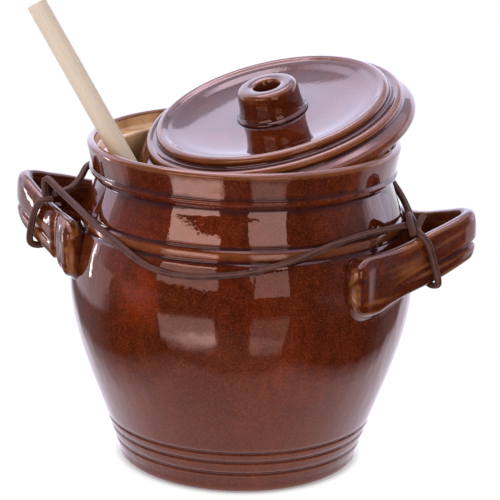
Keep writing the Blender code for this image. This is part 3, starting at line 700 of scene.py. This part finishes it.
def glaze_material(look):
    """Iron-brown stoneware glaze, fired glassy over turned clay.

    It is glossy and smooth to the touch, runs a little down the wall, lies dark and bluish where it
    pools, burns orange-brown where it thins over an edge, and is peppered with iron specks. The iron
    warms what it mirrors head on, and leaves what it mirrors aslant white."""
    material, tree = new_material("iron_brown_glaze")
    add = partial(add_node, tree)
    place = add("ShaderNodeTexCoord").outputs["Object"]
    depth = add("ShaderNodeAttribute", attribute_name="glaze_depth").outputs["Fac"]
    lining = add("ShaderNodeAttribute", attribute_name="lining").outputs["Fac"]

    # Broad clouding about 60 mm across, with redder patches
    clouds = add(NOISE, {"Vector": place, "Scale": 17.0, "Detail": 3.0})
    embers = add(NOISE, {"Vector": place, "Scale": 11.0, "Detail": 2.0})
    body = layered(
        tree,
        look.dark_glaze,
        (clouds, 0.32, 0.68, 1.0, look.glaze),
        (embers, 0.50, 0.72, 0.3, look.red_glaze),
    )

    # Runs about 9 mm wide and 80 mm long, and mottling about 5 mm across
    stretched = add(MAPPING, {"Vector": place, "Scale": (1.0, 1.0, 0.11)})
    runs = add(NOISE, {"Vector": stretched, "Scale": 110.0, "Detail": 2.0})
    run_share = add(RAMP, {0: runs, 1: 0.3, 2: 0.7, 3: 0.78, 4: 1.20})
    mottles = add(NOISE, {"Vector": place, "Scale": 190.0, "Detail": 5.0, "Roughness": 0.65})
    mottle_share = add(RAMP, {0: mottles, 1: 0.33, 2: 0.67, 3: 0.80, 4: 1.36})
    brightness = add(MATH, {0: run_share, 1: mottle_share}, operation="MULTIPLY")
    body = add(VECTOR_MATH, {0: body, "Scale": brightness}, operation="SCALE")

    # The ragged edge of a red flash 35 mm wide, where the kiln's flame touched the left of the front
    reach = add(VECTOR_MATH, {0: place, 1: (-0.063, -0.091, 0.132)}, operation="DISTANCE")
    tatters = add(NOISE, {"Vector": place, "Scale": 70.0, "Detail": 3.0})
    ragged = add(MATH, {0: tatters, 1: 0.05, 2: reach.outputs["Value"]}, operation="MULTIPLY_ADD")

    # Iron specks about 1 mm apart, and the frayed edges of thin and pooled glaze
    specks = add(NOISE, {"Vector": place, "Scale": 1000.0, "Detail": 1.0})
    fray = add(NOISE, {"Vector": place, "Scale": 160.0, "Detail": 2.0})
    frayed = add(MATH, {0: fray, 1: 0.14, 2: -0.07}, operation="MULTIPLY_ADD")
    level = add(MATH, {0: depth, 1: frayed}, operation="ADD")

    # It is paler and browner toward the foot, thins over edges and pools in turned lines
    height = add(SEPARATE, {0: place}).outputs["Z"]
    body = layered(
        tree,
        body,
        (ragged, 0.046, 0.033, 0.55, look.red_glaze),
        (height, 0.115, 0.045, 0.50, look.low_glaze),
        (specks, 0.50, 0.36, 0.45, look.speck),
        (specks, 0.54, 0.68, 0.19, look.pale_speck),
        (level, -0.10, -0.50, 0.48, look.thin_glaze),
        (level, 0.08, 0.50, 0.80, look.pooled_glaze),
    )

    # The honey lining inside, with brown streaks where the outer glaze ran in
    streaks = add(NOISE, {"Vector": stretched, "Scale": 60.0, "Detail": 3.0})
    inside = layered(tree, look.lining, (streaks, 0.35, 0.75, 1.0, look.lining_streak))
    inside_share = add(MATH, {0: frayed, 1: 3.0, 2: lining}, operation="MULTIPLY_ADD")
    inside_mask = add(RAMP, {0: inside_share, 1: 0.3, 2: 0.7})
    colour = add(MIX, {0: inside_mask, 6: body, 7: inside}, data_type="RGBA")

    # Waves where the glaze ran on steep walls, orange peel about 2.5 mm across, and the specks' faint relief
    facing = add("ShaderNodeNewGeometry").outputs["Normal"]
    upward = add(SEPARATE, {0: facing}).outputs["Z"]
    flatness = add(MATH, {0: upward}, operation="ABSOLUTE")
    run_depth = add(RAMP, {0: flatness, 1: 0.3, 2: 0.8, 3: 0.75, 4: 0.05})
    sagging = add(MAPPING, {"Vector": place, "Scale": (1.0, 1.0, 0.35)})
    sags = add(NOISE, {"Vector": sagging, "Scale": 85.0, "Detail": 1.5})
    peel = add(NOISE, {"Vector": place, "Scale": 400.0, "Detail": 1.0})
    waves = add(BUMP, {"Strength": run_depth, "Distance": 0.00055, "Height": sags})
    peeled = add(BUMP, {"Strength": 0.30, "Distance": 0.00006, "Height": peel, "Normal": waves})
    relief = add(BUMP, {"Strength": 0.25, "Distance": 0.00002, "Height": specks, "Normal": peeled})

    # Glassy, and duller where the glaze is thin
    gloss = add(RAMP, {0: clouds, 3: 0.02, 4: 0.05})
    dull = add(RAMP, {0: level, 1: -0.10, 2: -0.50, 4: 0.168})
    roughness = add(MATH, {0: gloss, 1: dull}, operation="ADD")
    surface = {"Base Color": colour, "Roughness": roughness, "IOR": 1.52, "Normal": relief}
    surface["Specular Tint"] = (*look.iron_sheen, 1.0)
    shader = add("ShaderNodeBsdfPrincipled", surface)
    add("ShaderNodeOutputMaterial", {"Surface": shader})
    return material


def beech_material(look):
    """Turned and sanded beech, left bare.

    It is pale and dull, with fine fibres along the stick and short brown ray flecks."""
    material, tree = new_material("sanded_beech")
    add = partial(add_node, tree)
    grain = add("ShaderNodeAttribute", attribute_name="grain").outputs["Vector"]
    # Fibres about 0.7 mm wide and 40 mm long, and ray flecks about 0.4 mm wide and 3 mm long
    patterns = []
    for stretch, scale, detail in ((0.018, 1400.0, 3.0), (0.14, 2400.0, 1.0)):
        stretched = add(MAPPING, {"Vector": grain, "Scale": (1.0, 1.0, stretch)})
        patterns.append(add(NOISE, {"Vector": stretched, "Scale": scale, "Detail": detail}))
    fibres, flecks = patterns
    wood = layered(
        tree, look.fibre, (fibres, 0.3, 0.7, 1.0, look.wood), (flecks, 0.60, 0.72, 0.5, look.fleck)
    )
    bump = add(BUMP, {"Strength": 0.4, "Distance": 0.00008, "Height": fibres})
    surface = {"Base Color": wood, "Roughness": 0.62, "IOR": 1.5, "Normal": bump}
    shader = add("ShaderNodeBsdfPrincipled", surface)
    add("ShaderNodeOutputMaterial", {"Surface": shader})
    return material


def leather_material(look):
    """Dark brown leather lace, cut from a dyed hide and handled.

    It has a fine creased grain on its faces, a dull sheen, and cut edges rubbed paler, where a highlight is
    also painted."""
    material, tree = new_material("cut_leather_lace")
    add = partial(add_node, tree)
    place = add("ShaderNodeTexCoord").outputs["Object"]
    around = add("ShaderNodeAttribute", attribute_name="around").outputs["Fac"]
    # Creases about 1 mm across
    creases = add("ShaderNodeTexVoronoi", {"Vector": place, "Scale": 900.0})
    dye = add(NOISE, {"Vector": place, "Scale": 130.0, "Detail": 3.0})
    # The section's four rounded corners lie a quarter of the way round from each other
    quarters = add(MATH, {0: around, 1: 4.0}, operation="MULTIPLY")
    from_corner = add(MATH, {0: quarters, 1: 0.5}, operation="PINGPONG")
    # The corners are painted paler: the cut edges' real rubbing, and a painted highlight along them
    skin = layered(
        tree,
        look.leather,
        (dye, 0.3, 0.7, 1.0, look.faded_leather),
        (from_corner, 0.18, 0.02, 0.4, look.rubbed_and_highlit_edge),
    )
    bump = add(BUMP, {"Strength": 0.6, "Distance": 0.00012, "Height": creases})
    surface = {"Base Color": skin, "Roughness": 0.65, "IOR": 1.3, "Sheen Weight": 0.04, "Normal": bump}
    shader = add("ShaderNodeBsdfPrincipled", surface)
    add("ShaderNodeOutputMaterial", {"Surface": shader})
    return material


def floor_material(look):
    """A pale matt studio table that keeps the shadow and fades to the background's white. In the glaze's
    reflections it glows with painted light.
    """
    material, tree = new_material("pale_matt_table")
    add = partial(add_node, tree)
    place = add("ShaderNodeTexCoord").outputs["Object"]
    x, y, _ = add(SEPARATE, {0: place}).outputs
    rays = add("ShaderNodeLightPath").outputs
    glossy = rays["Is Glossy Ray"]
    distance = add(VECTOR_MATH, {0: place}, operation="LENGTH").outputs["Value"]
    fade = add(RAMP, {0: distance, 1: 0.0765, 2: 0.084})
    seen = rays["Is Camera Ray"]
    for ray in (glossy, rays["Is Transmission Ray"]):
        seen = add(MATH, {0: seen, 1: ray}, operation="MAXIMUM")
    share = add(MATH, {0: fade, 1: seen}, operation="MULTIPLY")

    # For glossy rays the floor glows with painted light, which the glaze mirrors: a white table about 0.4 m
    # across, darker in front, with bright ground far to both sides of it and dim ground nearer
    sideways = add(MATH, {0: x}, operation="ABSOLUTE")
    right = add(MATH, {0: y, 1: -0.55, 2: x}, operation="MULTIPLY_ADD")
    left = add(MATH, {0: y, 1: 0.3, 2: x}, operation="MULTIPLY_ADD")
    aside = add(MATH, {0: y, 1: 0.9, 2: sideways}, operation="MULTIPLY_ADD")
    table = (
        (right, 0.24, 0.19),
        (left, -0.23, -0.15),
        (y, -0.18, -0.05, 0.9, 1.55),
        (y, -0.205, -0.185, 0.25, 1.0),
    )
    far_ground = ((y, -0.04, 0.05, 0.0, 0.3), (sideways, 0.37, 0.43, 1.0, 5.0))
    near_ground = ((aside, 0.2, 0.7, 0.0, 0.3),)
    mirrored = brightest(tree, table, far_ground, near_ground)
    bright = add(MIX, {0: glossy, 2: 1.0, 3: mirrored}, data_type="FLOAT")
    colours = {6: (1.0, 1.0, 1.0, 1.0), 7: (*look.table_tint, 1.0)}
    tint = add(MIX, {0: glossy, **colours}, data_type="RGBA")
    matt = add("ShaderNodeBsdfDiffuse", {"Color": (*look.floor_colour, 1.0)})
    white = add("ShaderNodeEmission", {"Color": tint, "Strength": bright})
    mixed = add("ShaderNodeMixShader", {0: share, 1: matt, 2: white})

    # In front of the table a polished floor shows a second, dimmer pair of windows
    sheen = brightest(tree, ((y, -0.20, -0.30), (x, -0.12, 0.06, 1.0, 0.5)))
    polish = add("ShaderNodeBsdfGlossy", {"Color": sheen, "Roughness": 0.13})
    polished = add("ShaderNodeAddShader", {0: white, 1: polish})
    surface = add("ShaderNodeMixShader", {0: glossy, 1: mixed, 2: polished})
    add("ShaderNodeOutputMaterial", {"Surface": surface})
    return material


# Settings


def size_setting(name, description, default):
    """Describe a length setting."""
    return FloatProperty(name=name, description=description, default=default, unit="LENGTH")


def light_setting(name, description, default):
    """Describe how strong a light is."""
    return FloatProperty(name=name, description=description, default=default, min=0.0)


def colour_setting(name, description, code):
    """Describe a colour setting from its sRGB hex code."""
    default = linear(code)
    return FloatVectorProperty(
        name=name, description=description, default=default, subtype="COLOR", min=0.0, max=1.0
    )


class CrockSettings(bpy.types.PropertyGroup):
    """Sizes and colours of the crock and its stage"""

    turn_steps: IntProperty(
        name="Steps", description="Steps round each turned form", default=192, min=24, max=256
    )
    wobble: size_setting("Wobble", "Unevenness of the turned wall", 0.35 * MM)
    lid_wobble: size_setting("Lid wobble", "Unevenness of the lid and knob", 0.12 * MM)
    wobble_size: size_setting("Wobble size", "Breadth of one uneven place", 0.09)
    throwing_depth: size_setting("Throwing depth", "Depth of the potter's finger marks", 0.05 * MM)
    throwing_pitch: size_setting("Throwing pitch", "Rise of the finger marks in one turn", 7.0 * MM)
    fillet: size_setting("Luting", "Reach of the clay smoothed round the handle pads", 4.0 * MM)
    unevenness: size_setting("Strap unevenness", "How much the pulled straps swell", 0.35 * MM)
    lace_width: size_setting("Lace width", "Width of the cut leather", 4.5 * MM)
    lace_thickness: size_setting("Lace thickness", "Thickness of the cut leather", 3.8 * MM)
    lace_edge: size_setting("Lace edge", "Rounding of the cut edges", 1.6 * MM)
    lace_step: size_setting("Lace step", "Length of one step along the leather", 1.6 * MM)
    lace_twist: FloatProperty(
        name="Lace twist", description="How far the lace turns on its way", default=1.6, subtype="ANGLE"
    )
    glaze: colour_setting("Glaze", "Main glaze colour", "#521F0A")
    dark_glaze: colour_setting("Dark glaze", "Clouds in the glaze", "#3F150A")
    low_glaze: colour_setting("Low glaze", "Glaze near the foot", "#683322")
    red_glaze: colour_setting("Red glaze", "Red patches", "#7C2708")
    iron_sheen: colour_setting("Iron sheen", "Warmth of what the glaze mirrors head on", "#FFC9BC")
    speck: colour_setting("Speck", "Iron specks", "#2C0F08")
    pale_speck: colour_setting("Pale speck", "Pale specks", "#8C4A26")
    thin_glaze: colour_setting("Thin glaze", "Glaze thinned over edges", "#9C6032")
    pooled_glaze: colour_setting("Pooled glaze", "Glaze pooled in hollows", "#25151A")
    lining: colour_setting("Lining", "Honey glaze inside", "#EFC79C")
    lining_streak: colour_setting("Lining streak", "Streaks in the lining", "#B98555")
    wood: colour_setting("Wood", "Bare wood", "#D2C1B1")
    fibre: colour_setting("Fibre", "Darker wood fibres", "#C6B29E")
    fleck: colour_setting("Fleck", "Ray flecks", "#B99D80")
    leather: colour_setting("Leather", "Dyed leather", "#371912")
    faded_leather: colour_setting("Faded leather", "Worn leather", "#532F26")
    # The rubbed edge colour also paints the highlight along the lace's edges
    rubbed_and_highlit_edge: colour_setting("Rubbed edge", "Cut edges of the leather", "#7A544A")
    floor_colour: colour_setting("Floor", "Floor colour", "#F7F7F7")
    window_strength: light_setting("Windows", "Brightness of the windows' upper panes", 7.0)
    backdrop_strength: light_setting("Backdrop", "Brightness of the mirrored backdrop behind", 3.6)
    backdrop_tint: colour_setting("Backdrop tint", "Cool tint of the mirrored room", "#DEE2FF")
    table_tint: colour_setting("Table tint", "Cool tint of the mirrored table", "#F2F0FF")
    strip_strength: light_setting("Strip", "Brightness of the narrow light at the left", 14.0)
    top_strength: light_setting("Top light", "Brightness of the soft light above", 1.5)
    room_light: light_setting("Room light", "Strength of the room's light", 0.72)


def shared_material(name, maker):
    """Find a material by name, or make it from the settings."""
    if name in bpy.data.materials:
        return bpy.data.materials[name]
    return maker(bpy.context.scene.crock_settings)


def shared_tree(name, maker):
    """Find a tree by name, or build it."""
    return bpy.data.node_groups[name] if name in bpy.data.node_groups else maker()


# Operators


class CROCK_OT_stage(bpy.types.Operator):
    """Add the camera, the floor, the lights and the white surroundings"""

    bl_idname = "crock.stage"
    bl_label = "Stage"

    def execute(self, context):
        settings = context.scene.crock_settings
        self.add_camera(context.scene)
        self.add_floor(settings)
        self.add_world(context.scene, settings)
        self.add_lights(context.scene, settings)
        context.scene.view_settings.view_transform = "Standard"
        return {"FINISHED"}

    def add_camera(self, scene):
        """Stand the camera where the photograph was taken."""
        data = bpy.data.cameras.new("camera")
        data.lens = CAMERA_LENS_MM
        data.sensor_width = 36.0
        data.shift_x, data.shift_y = CAMERA_SHIFT
        data.clip_start = 0.05
        forward = (CAMERA_TARGET - CAMERA_PLACE).normalized()
        right = Vector((1.0, 0.0, 0.0))
        upward = right.cross(forward)
        rolled_right = right * math.cos(CAMERA_ROLL) + upward * math.sin(CAMERA_ROLL)
        rolled_up = upward * math.cos(CAMERA_ROLL) - right * math.sin(CAMERA_ROLL)
        camera = bpy.data.objects.new("camera", data)
        turn = Matrix((rolled_right, rolled_up, -forward)).transposed().to_4x4()
        camera.matrix_world = Matrix.Translation(CAMERA_PLACE) @ turn
        scene.collection.objects.link(camera)
        scene.camera = camera

    def add_floor(self, settings):
        """Lay the pale floor under the crock."""
        mesh = bpy.data.meshes.new("floor")
        half = FLOOR_REACH
        sides = ((-half, -half), (half, -half), (half, half), (-half, half))
        mesh.from_pydata([(x, y, FLOOR_LEVEL) for x, y in sides], [], [(0, 1, 2, 3)])
        mesh.materials.append(floor_material(settings))
        placed_object(mesh)

    def add_world(self, scene, settings):
        """Surround the crock with a white room that is dim on the camera's side."""
        world = bpy.data.worlds.new("white_room")
        world.use_nodes = True
        tree = world.node_tree
        tree.nodes.clear()
        add = partial(add_node, tree)
        heading = add("ShaderNodeTexCoord").outputs["Generated"]
        x, y, z = add(SEPARATE, {0: heading}).outputs
        slant = add(MATH, {0: x, 1: 0.17, 2: z}, operation="MULTIPLY_ADD")
        leftward = add(MATH, {0: x, 1: z}, operation="ADD")
        shade = brightest(tree, ((slant, 0.545, 0.56, 0.0, 0.62), (x, -0.31, -0.27)))
        # The glaze mirrors a bright backdrop behind, shaded along its top and dim at its left end
        backdrop = (
            (y, 0.14, 0.30),
            (shade, 0.0, 1.0, 1.0, 0.0),
            (z, 0.0, 0.5, 0.5, 1.0),
            (leftward, -0.62, -0.50, 0.4, 1.0),
        )
        # A bright opening low at both sides, a white ceiling, and a lamp overhead to the left
        opening = ((y, 0.34, 0.38), (y, 0.66, 0.60, 0.0, 0.8), (z, 0.34, 0.28))
        ceiling = ((slant, 0.72, 0.75, 0.0, 1.5), (x, 0.16, 0.04, 0.5, 1.0))
        lamp = (
            (z, 0.83, 0.86, 0.0, 3.2),
            (y, 0.56, 0.48),
            (y, 0.0, 0.12),
            (x, 0.26, 0.14),
        )
        bright = brightest(tree, backdrop, opening, ceiling, lamp)
        front = add(RAMP, {0: y, 1: -0.65, 2: 0.05, 3: 0.03, 4: 0.6})
        room = add(MATH, {0: bright, 1: settings.backdrop_strength, 2: front}, operation="MULTIPLY_ADD")
        rays = add("ShaderNodeLightPath").outputs
        glossy = rays["Is Glossy Ray"]
        mirrored = add(MATH, {0: room, 1: glossy}, operation="MULTIPLY")
        lit = {0: rays["Is Diffuse Ray"], 1: settings.room_light}
        total = add(MATH, lit, operation="MULTIPLY")
        for share in (mirrored, rays["Is Camera Ray"], rays["Is Transmission Ray"]):
            total = add(MATH, {0: total, 1: share}, operation="MAXIMUM")
        colours = {6: (1.0, 1.0, 1.0, 1.0), 7: (*settings.backdrop_tint, 1.0)}
        tint = add(MIX, {0: glossy, **colours}, data_type="RGBA")
        background = add("ShaderNodeBackground", {"Color": tint, "Strength": total})
        add("ShaderNodeOutputWorld", {"Surface": background})
        scene.world = world

    def add_lights(self, scene, settings):
        """Hang the lights, each as bright as a white wall times its strength."""
        pane = settings.window_strength
        lights = (
            ("left_lower_pane", (-0.83, -1.20, 0.40), (1.00, 0.30), 0.35 * pane),
            ("left_upper_pane", (-0.83, -1.20, 0.68), (1.00, 0.21), pane),
            ("right_lower_pane", (0.49, -1.38, 0.36), (0.64, 0.32), 0.30 * pane),
            ("right_upper_pane", (0.49, -1.38, 0.72), (0.64, 0.28), 0.60 * pane),
            ("left_strip", (-0.62, 0.20, 0.12), (0.035, 0.16), settings.strip_strength),
            ("top_box", (-0.3, 0.3, 1.3), (0.9, 0.7), settings.top_strength),
        )
        for name, place, size, strength in lights:
            data = bpy.data.lights.new(name, "AREA")
            data.shape = "RECTANGLE"
            data.size, data.size_y = size
            data.energy = strength * math.pi * size[0] * size[1]
            lamp = bpy.data.objects.new(name, data)
            facing = (Vector((0.0, 0.0, 0.15)) - Vector(place)).to_track_quat("-Z", "Y")
            lamp.matrix_world = Matrix.Translation(place) @ facing.to_matrix().to_4x4()
            scene.collection.objects.link(lamp)


class CROCK_OT_thongs(bpy.types.Operator):
    """Lay the four lengths of leather thong along their routes"""

    bl_idname = "crock.thongs"
    bl_label = "Leather thongs"

    def execute(self, context):
        settings = context.scene.crock_settings
        tree = shared_tree("Leather lace", lace_tree)
        sizes = {
            "Width": settings.lace_width,
            "Thickness": settings.lace_thickness,
            "Edge Radius": settings.lace_edge,
            "Twist": settings.lace_twist,
            "Leather": shared_material("cut_leather_lace", leather_material),
        }
        for name, route_mm in THONGS:
            path = rounded_line(even_points(route_mm, settings.lace_step), LACE_ROUNDING)
            thong = line_object(name + "_lace", path)
            run_tree(thong, tree, sizes)
            stand_in(thong, name, "crock")
        return {"FINISHED"}


def turned_piece(name, profile, marks, settings, wobble):
    """Turn a profile into a glazed piece at the origin."""
    kept = thinned_line(profile, PROFILE_STEP, PROFILE_TURN)
    points = [(profile[index][0], 0.0, profile[index][1]) for index in kept]
    kept_marks = {label: [values[index] for index in kept] for label, values in marks.items()}
    piece = line_object(name, points, kept_marks)
    sizes = {
        "Steps": settings.turn_steps,
        "Wobble": wobble,
        "Wobble Size": settings.wobble_size,
        "Throwing Depth": settings.throwing_depth,
        "Throwing Pitch": settings.throwing_pitch,
        "Glaze": shared_material("iron_brown_glaze", glaze_material),
    }
    run_tree(piece, shared_tree("Turned on the wheel", turned_tree), sizes)
    return piece


class CROCK_OT_body(bpy.types.Operator):
    """Turn the crock's wall, foot, neck, ledge and lip"""

    bl_idname = "crock.body"
    bl_label = "Crock body"

    def execute(self, context):
        settings = context.scene.crock_settings
        profile = rounded_line(even_line(crock_profile(), PROFILE_SPACING), PROFILE_ROUNDING)
        heights = [height for _, height in profile]
        top = heights.index(max(heights))
        lining = [min(1.0, max(0.0, (LINING_TOP - height) / LINING_FADE)) for height in heights[:top]]
        depths = hollow_depths(profile, HOLLOW_REACH)
        for index in range(top, len(profile)):
            depths[index] += swells(heights[index], GLAZE_BANDS)
        low, high = THROWN_SPAN
        marks = {
            "throwing": [1.0 if low < height < high else 0.0 for height in heights],
            "glaze_depth": depths,
            "lining": lining + [0.0] * (len(profile) - top),
        }
        piece = turned_piece("thrown_body", profile, marks, settings, settings.wobble)
        stand_in(piece, "crock_body", "crock")
        return {"FINISHED"}


def superellipse(level):
    """Give how far a strap's section reaches at a level, as a share of its half thickness."""
    return (1 - abs(level) ** STRAP_SQUARENESS) ** (1 / STRAP_SQUARENESS)


def strap_outline(height, thickness, groove, side_steps=56, back_steps=28):
    """Give the strap's section from its half height, half thickness and share of groove."""
    outline = []
    for step in range(side_steps + 1):
        level = math.cos(math.pi * step / side_steps)
        dip = groove * swells(level, STRAP_GROOVE)
        outline.append(((superellipse(level) - dip) * thickness, level * height))
    for step in range(back_steps - 1, 0, -1):
        level = math.cos(math.pi * step / back_steps)
        outline.append((-superellipse(level) * thickness, level * height))
    return outline


def strap_stations(trim, crease, unevenness):
    """Give each station's centre, outward side, section and distance from the nearer tip."""
    far_half = [(row[0], -row[1], *row[2:]) for row in reversed(STRAP_ROUTE_MM[:-1])]
    rows = spline_points([*STRAP_ROUTE_MM, *far_half], samples=9)
    lengths = [run * MM for run in run_lengths([row[:3] for row in rows])]
    stations = []
    for index, row in enumerate(rows):
        from_last = lengths[-1] - trim - lengths[index]
        tip = min(lengths[index], from_last)
        if tip < 0:
            continue
        before = rows[max(index - 1, 0)]
        after = rows[min(index + 1, len(rows) - 1)]
        along = Vector((after[0] - before[0], after[1] - before[1], 0.0)).normalized()
        outward = Vector((along.y, -along.x, 0.0))
        reach, side, level, height, thickness = (value * MM for value in row)

        # The tip is pressed to a round corner, with a roll of clay just behind it
        height -= STRAP_CORNER - math.sqrt(STRAP_CORNER**2 - max(0.0, STRAP_CORNER - tip) ** 2)
        thickness += swells(tip, STRAP_ROLLS)
        thickness *= max(STRAP_TIP_SHARE, math.sqrt(1 - (max(0.0, STRAP_NOSE - tip) / STRAP_NOSE) ** 2))
        if crease:
            dent = swells(from_last - crease, CREASE_DENT)
            level += dent
            height -= dent
            thickness += swells(from_last - crease, CREASE_CLAY)

        # The strap was pulled by hand, so it swells a little along its length
        height += unevenness * math.sin(lengths[index] / STRAP_WAVES[0]) * min(1.0, tip / STRAP_WAVE_START)
        thickness += 0.5 * unevenness * math.sin(lengths[index] / STRAP_WAVES[1] + 1.0)
        start, gone = STRAP_GROOVE_FADE
        groove = min(1.0, max(0.0, (gone - abs(side)) / (gone - start)))
        section = strap_outline(height, thickness, groove)
        stations.append((Vector((reach, side, level)), outward, section, tip))
    return stations


def luted(place, centre, lift, reach):
    """Spread a point of the strap over the wall where it comes close, and give the glaze pooled there."""
    radius = math.hypot(place.x, place.y)
    clearance = radius - wall_radius(place.z + lift)
    if clearance > reach:
        return place, 0.0
    normal = Vector((place.x / radius, place.y / radius, 0.0))
    side = place - centre
    side -= normal * side.dot(normal)
    if side.length < LUTING_SIDE:
        return place, 0.0
    share = 1 - max(clearance, 0.0) / reach
    return place + side.normalized() * (reach * LUTING_SPREAD * share**2), LUTING_POOL * share


class CROCK_OT_handles(bpy.types.Operator):
    """Pull the two ribbed strap handles and lute them to the wall"""

    bl_idname = "crock.handles"
    bl_label = "Strap handles"

    def execute(self, context):
        settings = context.scene.crock_settings
        glaze = shared_material("iron_brown_glaze", glaze_material)
        streak_length, streak_width = STREAK_SIZE
        for name, azimuth, lift, trim, crease in HANDLES:
            rings = []
            depths = []
            for centre, outward, section, tip in strap_stations(trim, crease, settings.unevenness):
                ring = []
                nose = swells(tip, STRAP_GLAZE)
                section_depths = hollow_depths(section + section[:1], STRAP_HOLLOW_REACH, closed=True)
                for (across, level), depth in zip(section, section_depths):
                    place = centre + outward * across + Vector((0.0, 0.0, level))
                    place, pooled = luted(place, centre, lift, settings.fillet)
                    ring.append(place)
                    streak = noise.noise(Vector((tip / streak_length, level / streak_width, lift / MM)))
                    depths.append(depth + STREAK_DEPTH * streak - STRAP_THIN + (pooled or nose))
                rings.append(ring)
            mesh = lofted_mesh(name + "_strap", rings, glaze)
            mesh.attributes.new("glaze_depth", "FLOAT", "POINT").data.foreach_set("value", depths)
            mesh.transform(Matrix.Translation((0.0, 0.0, lift)) @ Matrix.Rotation(azimuth, 4, "Z"))
            stand_in(placed_object(mesh), name, "crock")
        return {"FINISHED"}


class CROCK_OT_lid(bpy.types.Operator):
    """Turn the flanged lid and its hollow knob, and lean them in the mouth"""

    bl_idname = "crock.lid"
    bl_label = "Lid and knob"

    def execute(self, context):
        settings = context.scene.crock_settings
        lean = Matrix.Translation(LID_CENTRE) @ tilt_matrix(LID_TILT, LID_LOW_AZIMUTH)
        rise = Matrix.Translation((0.0, 0.0, KNOB_SEAT_HEIGHT))
        parts = (
            ("turned_lid", "lid", LID_TOP_MM + LID_COLLAR_MM + LID_UNDER_MM, lean),
            ("turned_knob", "lid_knob", KNOB_OUTLINE_MM, lean @ rise),
        )
        for name, node, outline_mm, place in parts:
            loop = smooth_loop(guarded(flipped(outline_mm)), LID_SPACING)
            depths = hollow_depths(loop, HOLLOW_REACH, closed=True)
            marks = {
                "throwing": [0.0] * len(loop),
                "glaze_depth": [self.pooled(node, *point, depth) for point, depth in zip(loop, depths)],
                "lining": [self.lining_share(node, *point) for point in loop],
            }
            piece = turned_piece(name, loop, marks, settings, settings.lid_wobble)
            piece.data.transform(place)
            stand_in(piece, node, "lid")
        return {"FINISHED"}

    @staticmethod
    def pooled(node, radius, height, depth):
        """Let the glaze also pool where the knob stands on the lid."""
        foot = KNOB_OUTLINE_MM[-2][1] * MM
        if node == "lid" and height > LID_TOP_LEVEL and radius < foot + KNOB_POOL_REACH:
            return depth + KNOB_POOL
        if node == "lid_knob" and height < KNOB_POOL_REACH and radius > foot - KNOB_POOL_REACH:
            return KNOB_POOL
        return depth

    @staticmethod
    def lining_share(node, radius, height):
        """Give the lining's share: all over the lid's underside and none on the knob."""
        inner_radius, roof = LID_HOLLOW
        under = height < LID_FLANGE_LEVEL or radius < inner_radius and height < roof
        return 1.0 if node == "lid" and under else 0.0


class CROCK_OT_stick(bpy.types.Operator):
    """Cut the wooden stick with its eased ends"""

    bl_idname = "crock.stick"
    bl_label = "Wooden stick"

    def execute(self, context):
        core = STICK_RADIUS - STICK_EDGE
        levels = 60
        profile = corner(core, STICK_EDGE, STICK_EDGE, -90.0, 0.0, steps=5)
        for level in range(1, levels):
            profile.append((STICK_RADIUS, STICK_EDGE + (STICK_LENGTH - 2 * STICK_EDGE) * level / levels))
        profile += corner(core, STICK_LENGTH - STICK_EDGE, STICK_EDGE, 0.0, 90.0, steps=5)
        angles = [math.tau * side / STICK_SIDES for side in range(STICK_SIDES)]
        rings = []
        for radius, height in profile:
            rings.append([(radius * math.cos(angle), radius * math.sin(angle), height) for angle in angles])
        mesh = lofted_mesh("beech_stick", rings, shared_material("sanded_beech", beech_material))
        grain = [value for vertex in mesh.vertices for value in vertex.co]
        mesh.attributes.new("grain", "FLOAT_VECTOR", "POINT").data.foreach_set("vector", grain)
        mesh.transform(Matrix.Translation(STICK_FOOT) @ tilt_matrix(STICK_LEAN, STICK_AZIMUTH))
        stand_in(placed_object(mesh), "stick", "stick")
        return {"FINISHED"}


class CROCK_PT_panel(bpy.types.Panel):
    """List the crock's pieces"""

    bl_label = "Fermentation crock"
    bl_idname = "CROCK_PT_panel"
    bl_space_type = "VIEW_3D"
    bl_region_type = "UI"
    bl_category = "Crock"

    def draw(self, context):
        layout = self.layout
        for operator in OPERATORS:
            layout.operator(operator.bl_idname)
        settings = context.scene.crock_settings
        for name in CrockSettings.__annotations__:
            layout.prop(settings, name)


OPERATORS = (
    CROCK_OT_stage,
    CROCK_OT_thongs,
    CROCK_OT_body,
    CROCK_OT_handles,
    CROCK_OT_lid,
    CROCK_OT_stick,
)


def register():
    """Register the settings, the operators and the panel."""
    for item in (CrockSettings, *OPERATORS, CROCK_PT_panel):
        bpy.utils.register_class(item)
    bpy.types.Scene.crock_settings = PointerProperty(type=CrockSettings)


def unregister():
    """Take the settings, the operators and the panel away again."""
    del bpy.types.Scene.crock_settings
    for item in (CROCK_PT_panel, *reversed(OPERATORS), CrockSettings):
        bpy.utils.unregister_class(item)


def main():
    """Build the stage and every piece."""
    register()
    bpy.ops.crock.stage()
    bpy.ops.crock.thongs()
    bpy.ops.crock.body()
    bpy.ops.crock.handles()
    bpy.ops.crock.lid()
    bpy.ops.crock.stick()
    bpy.context.view_layer.update()


if __name__ == "__main__":
    main()
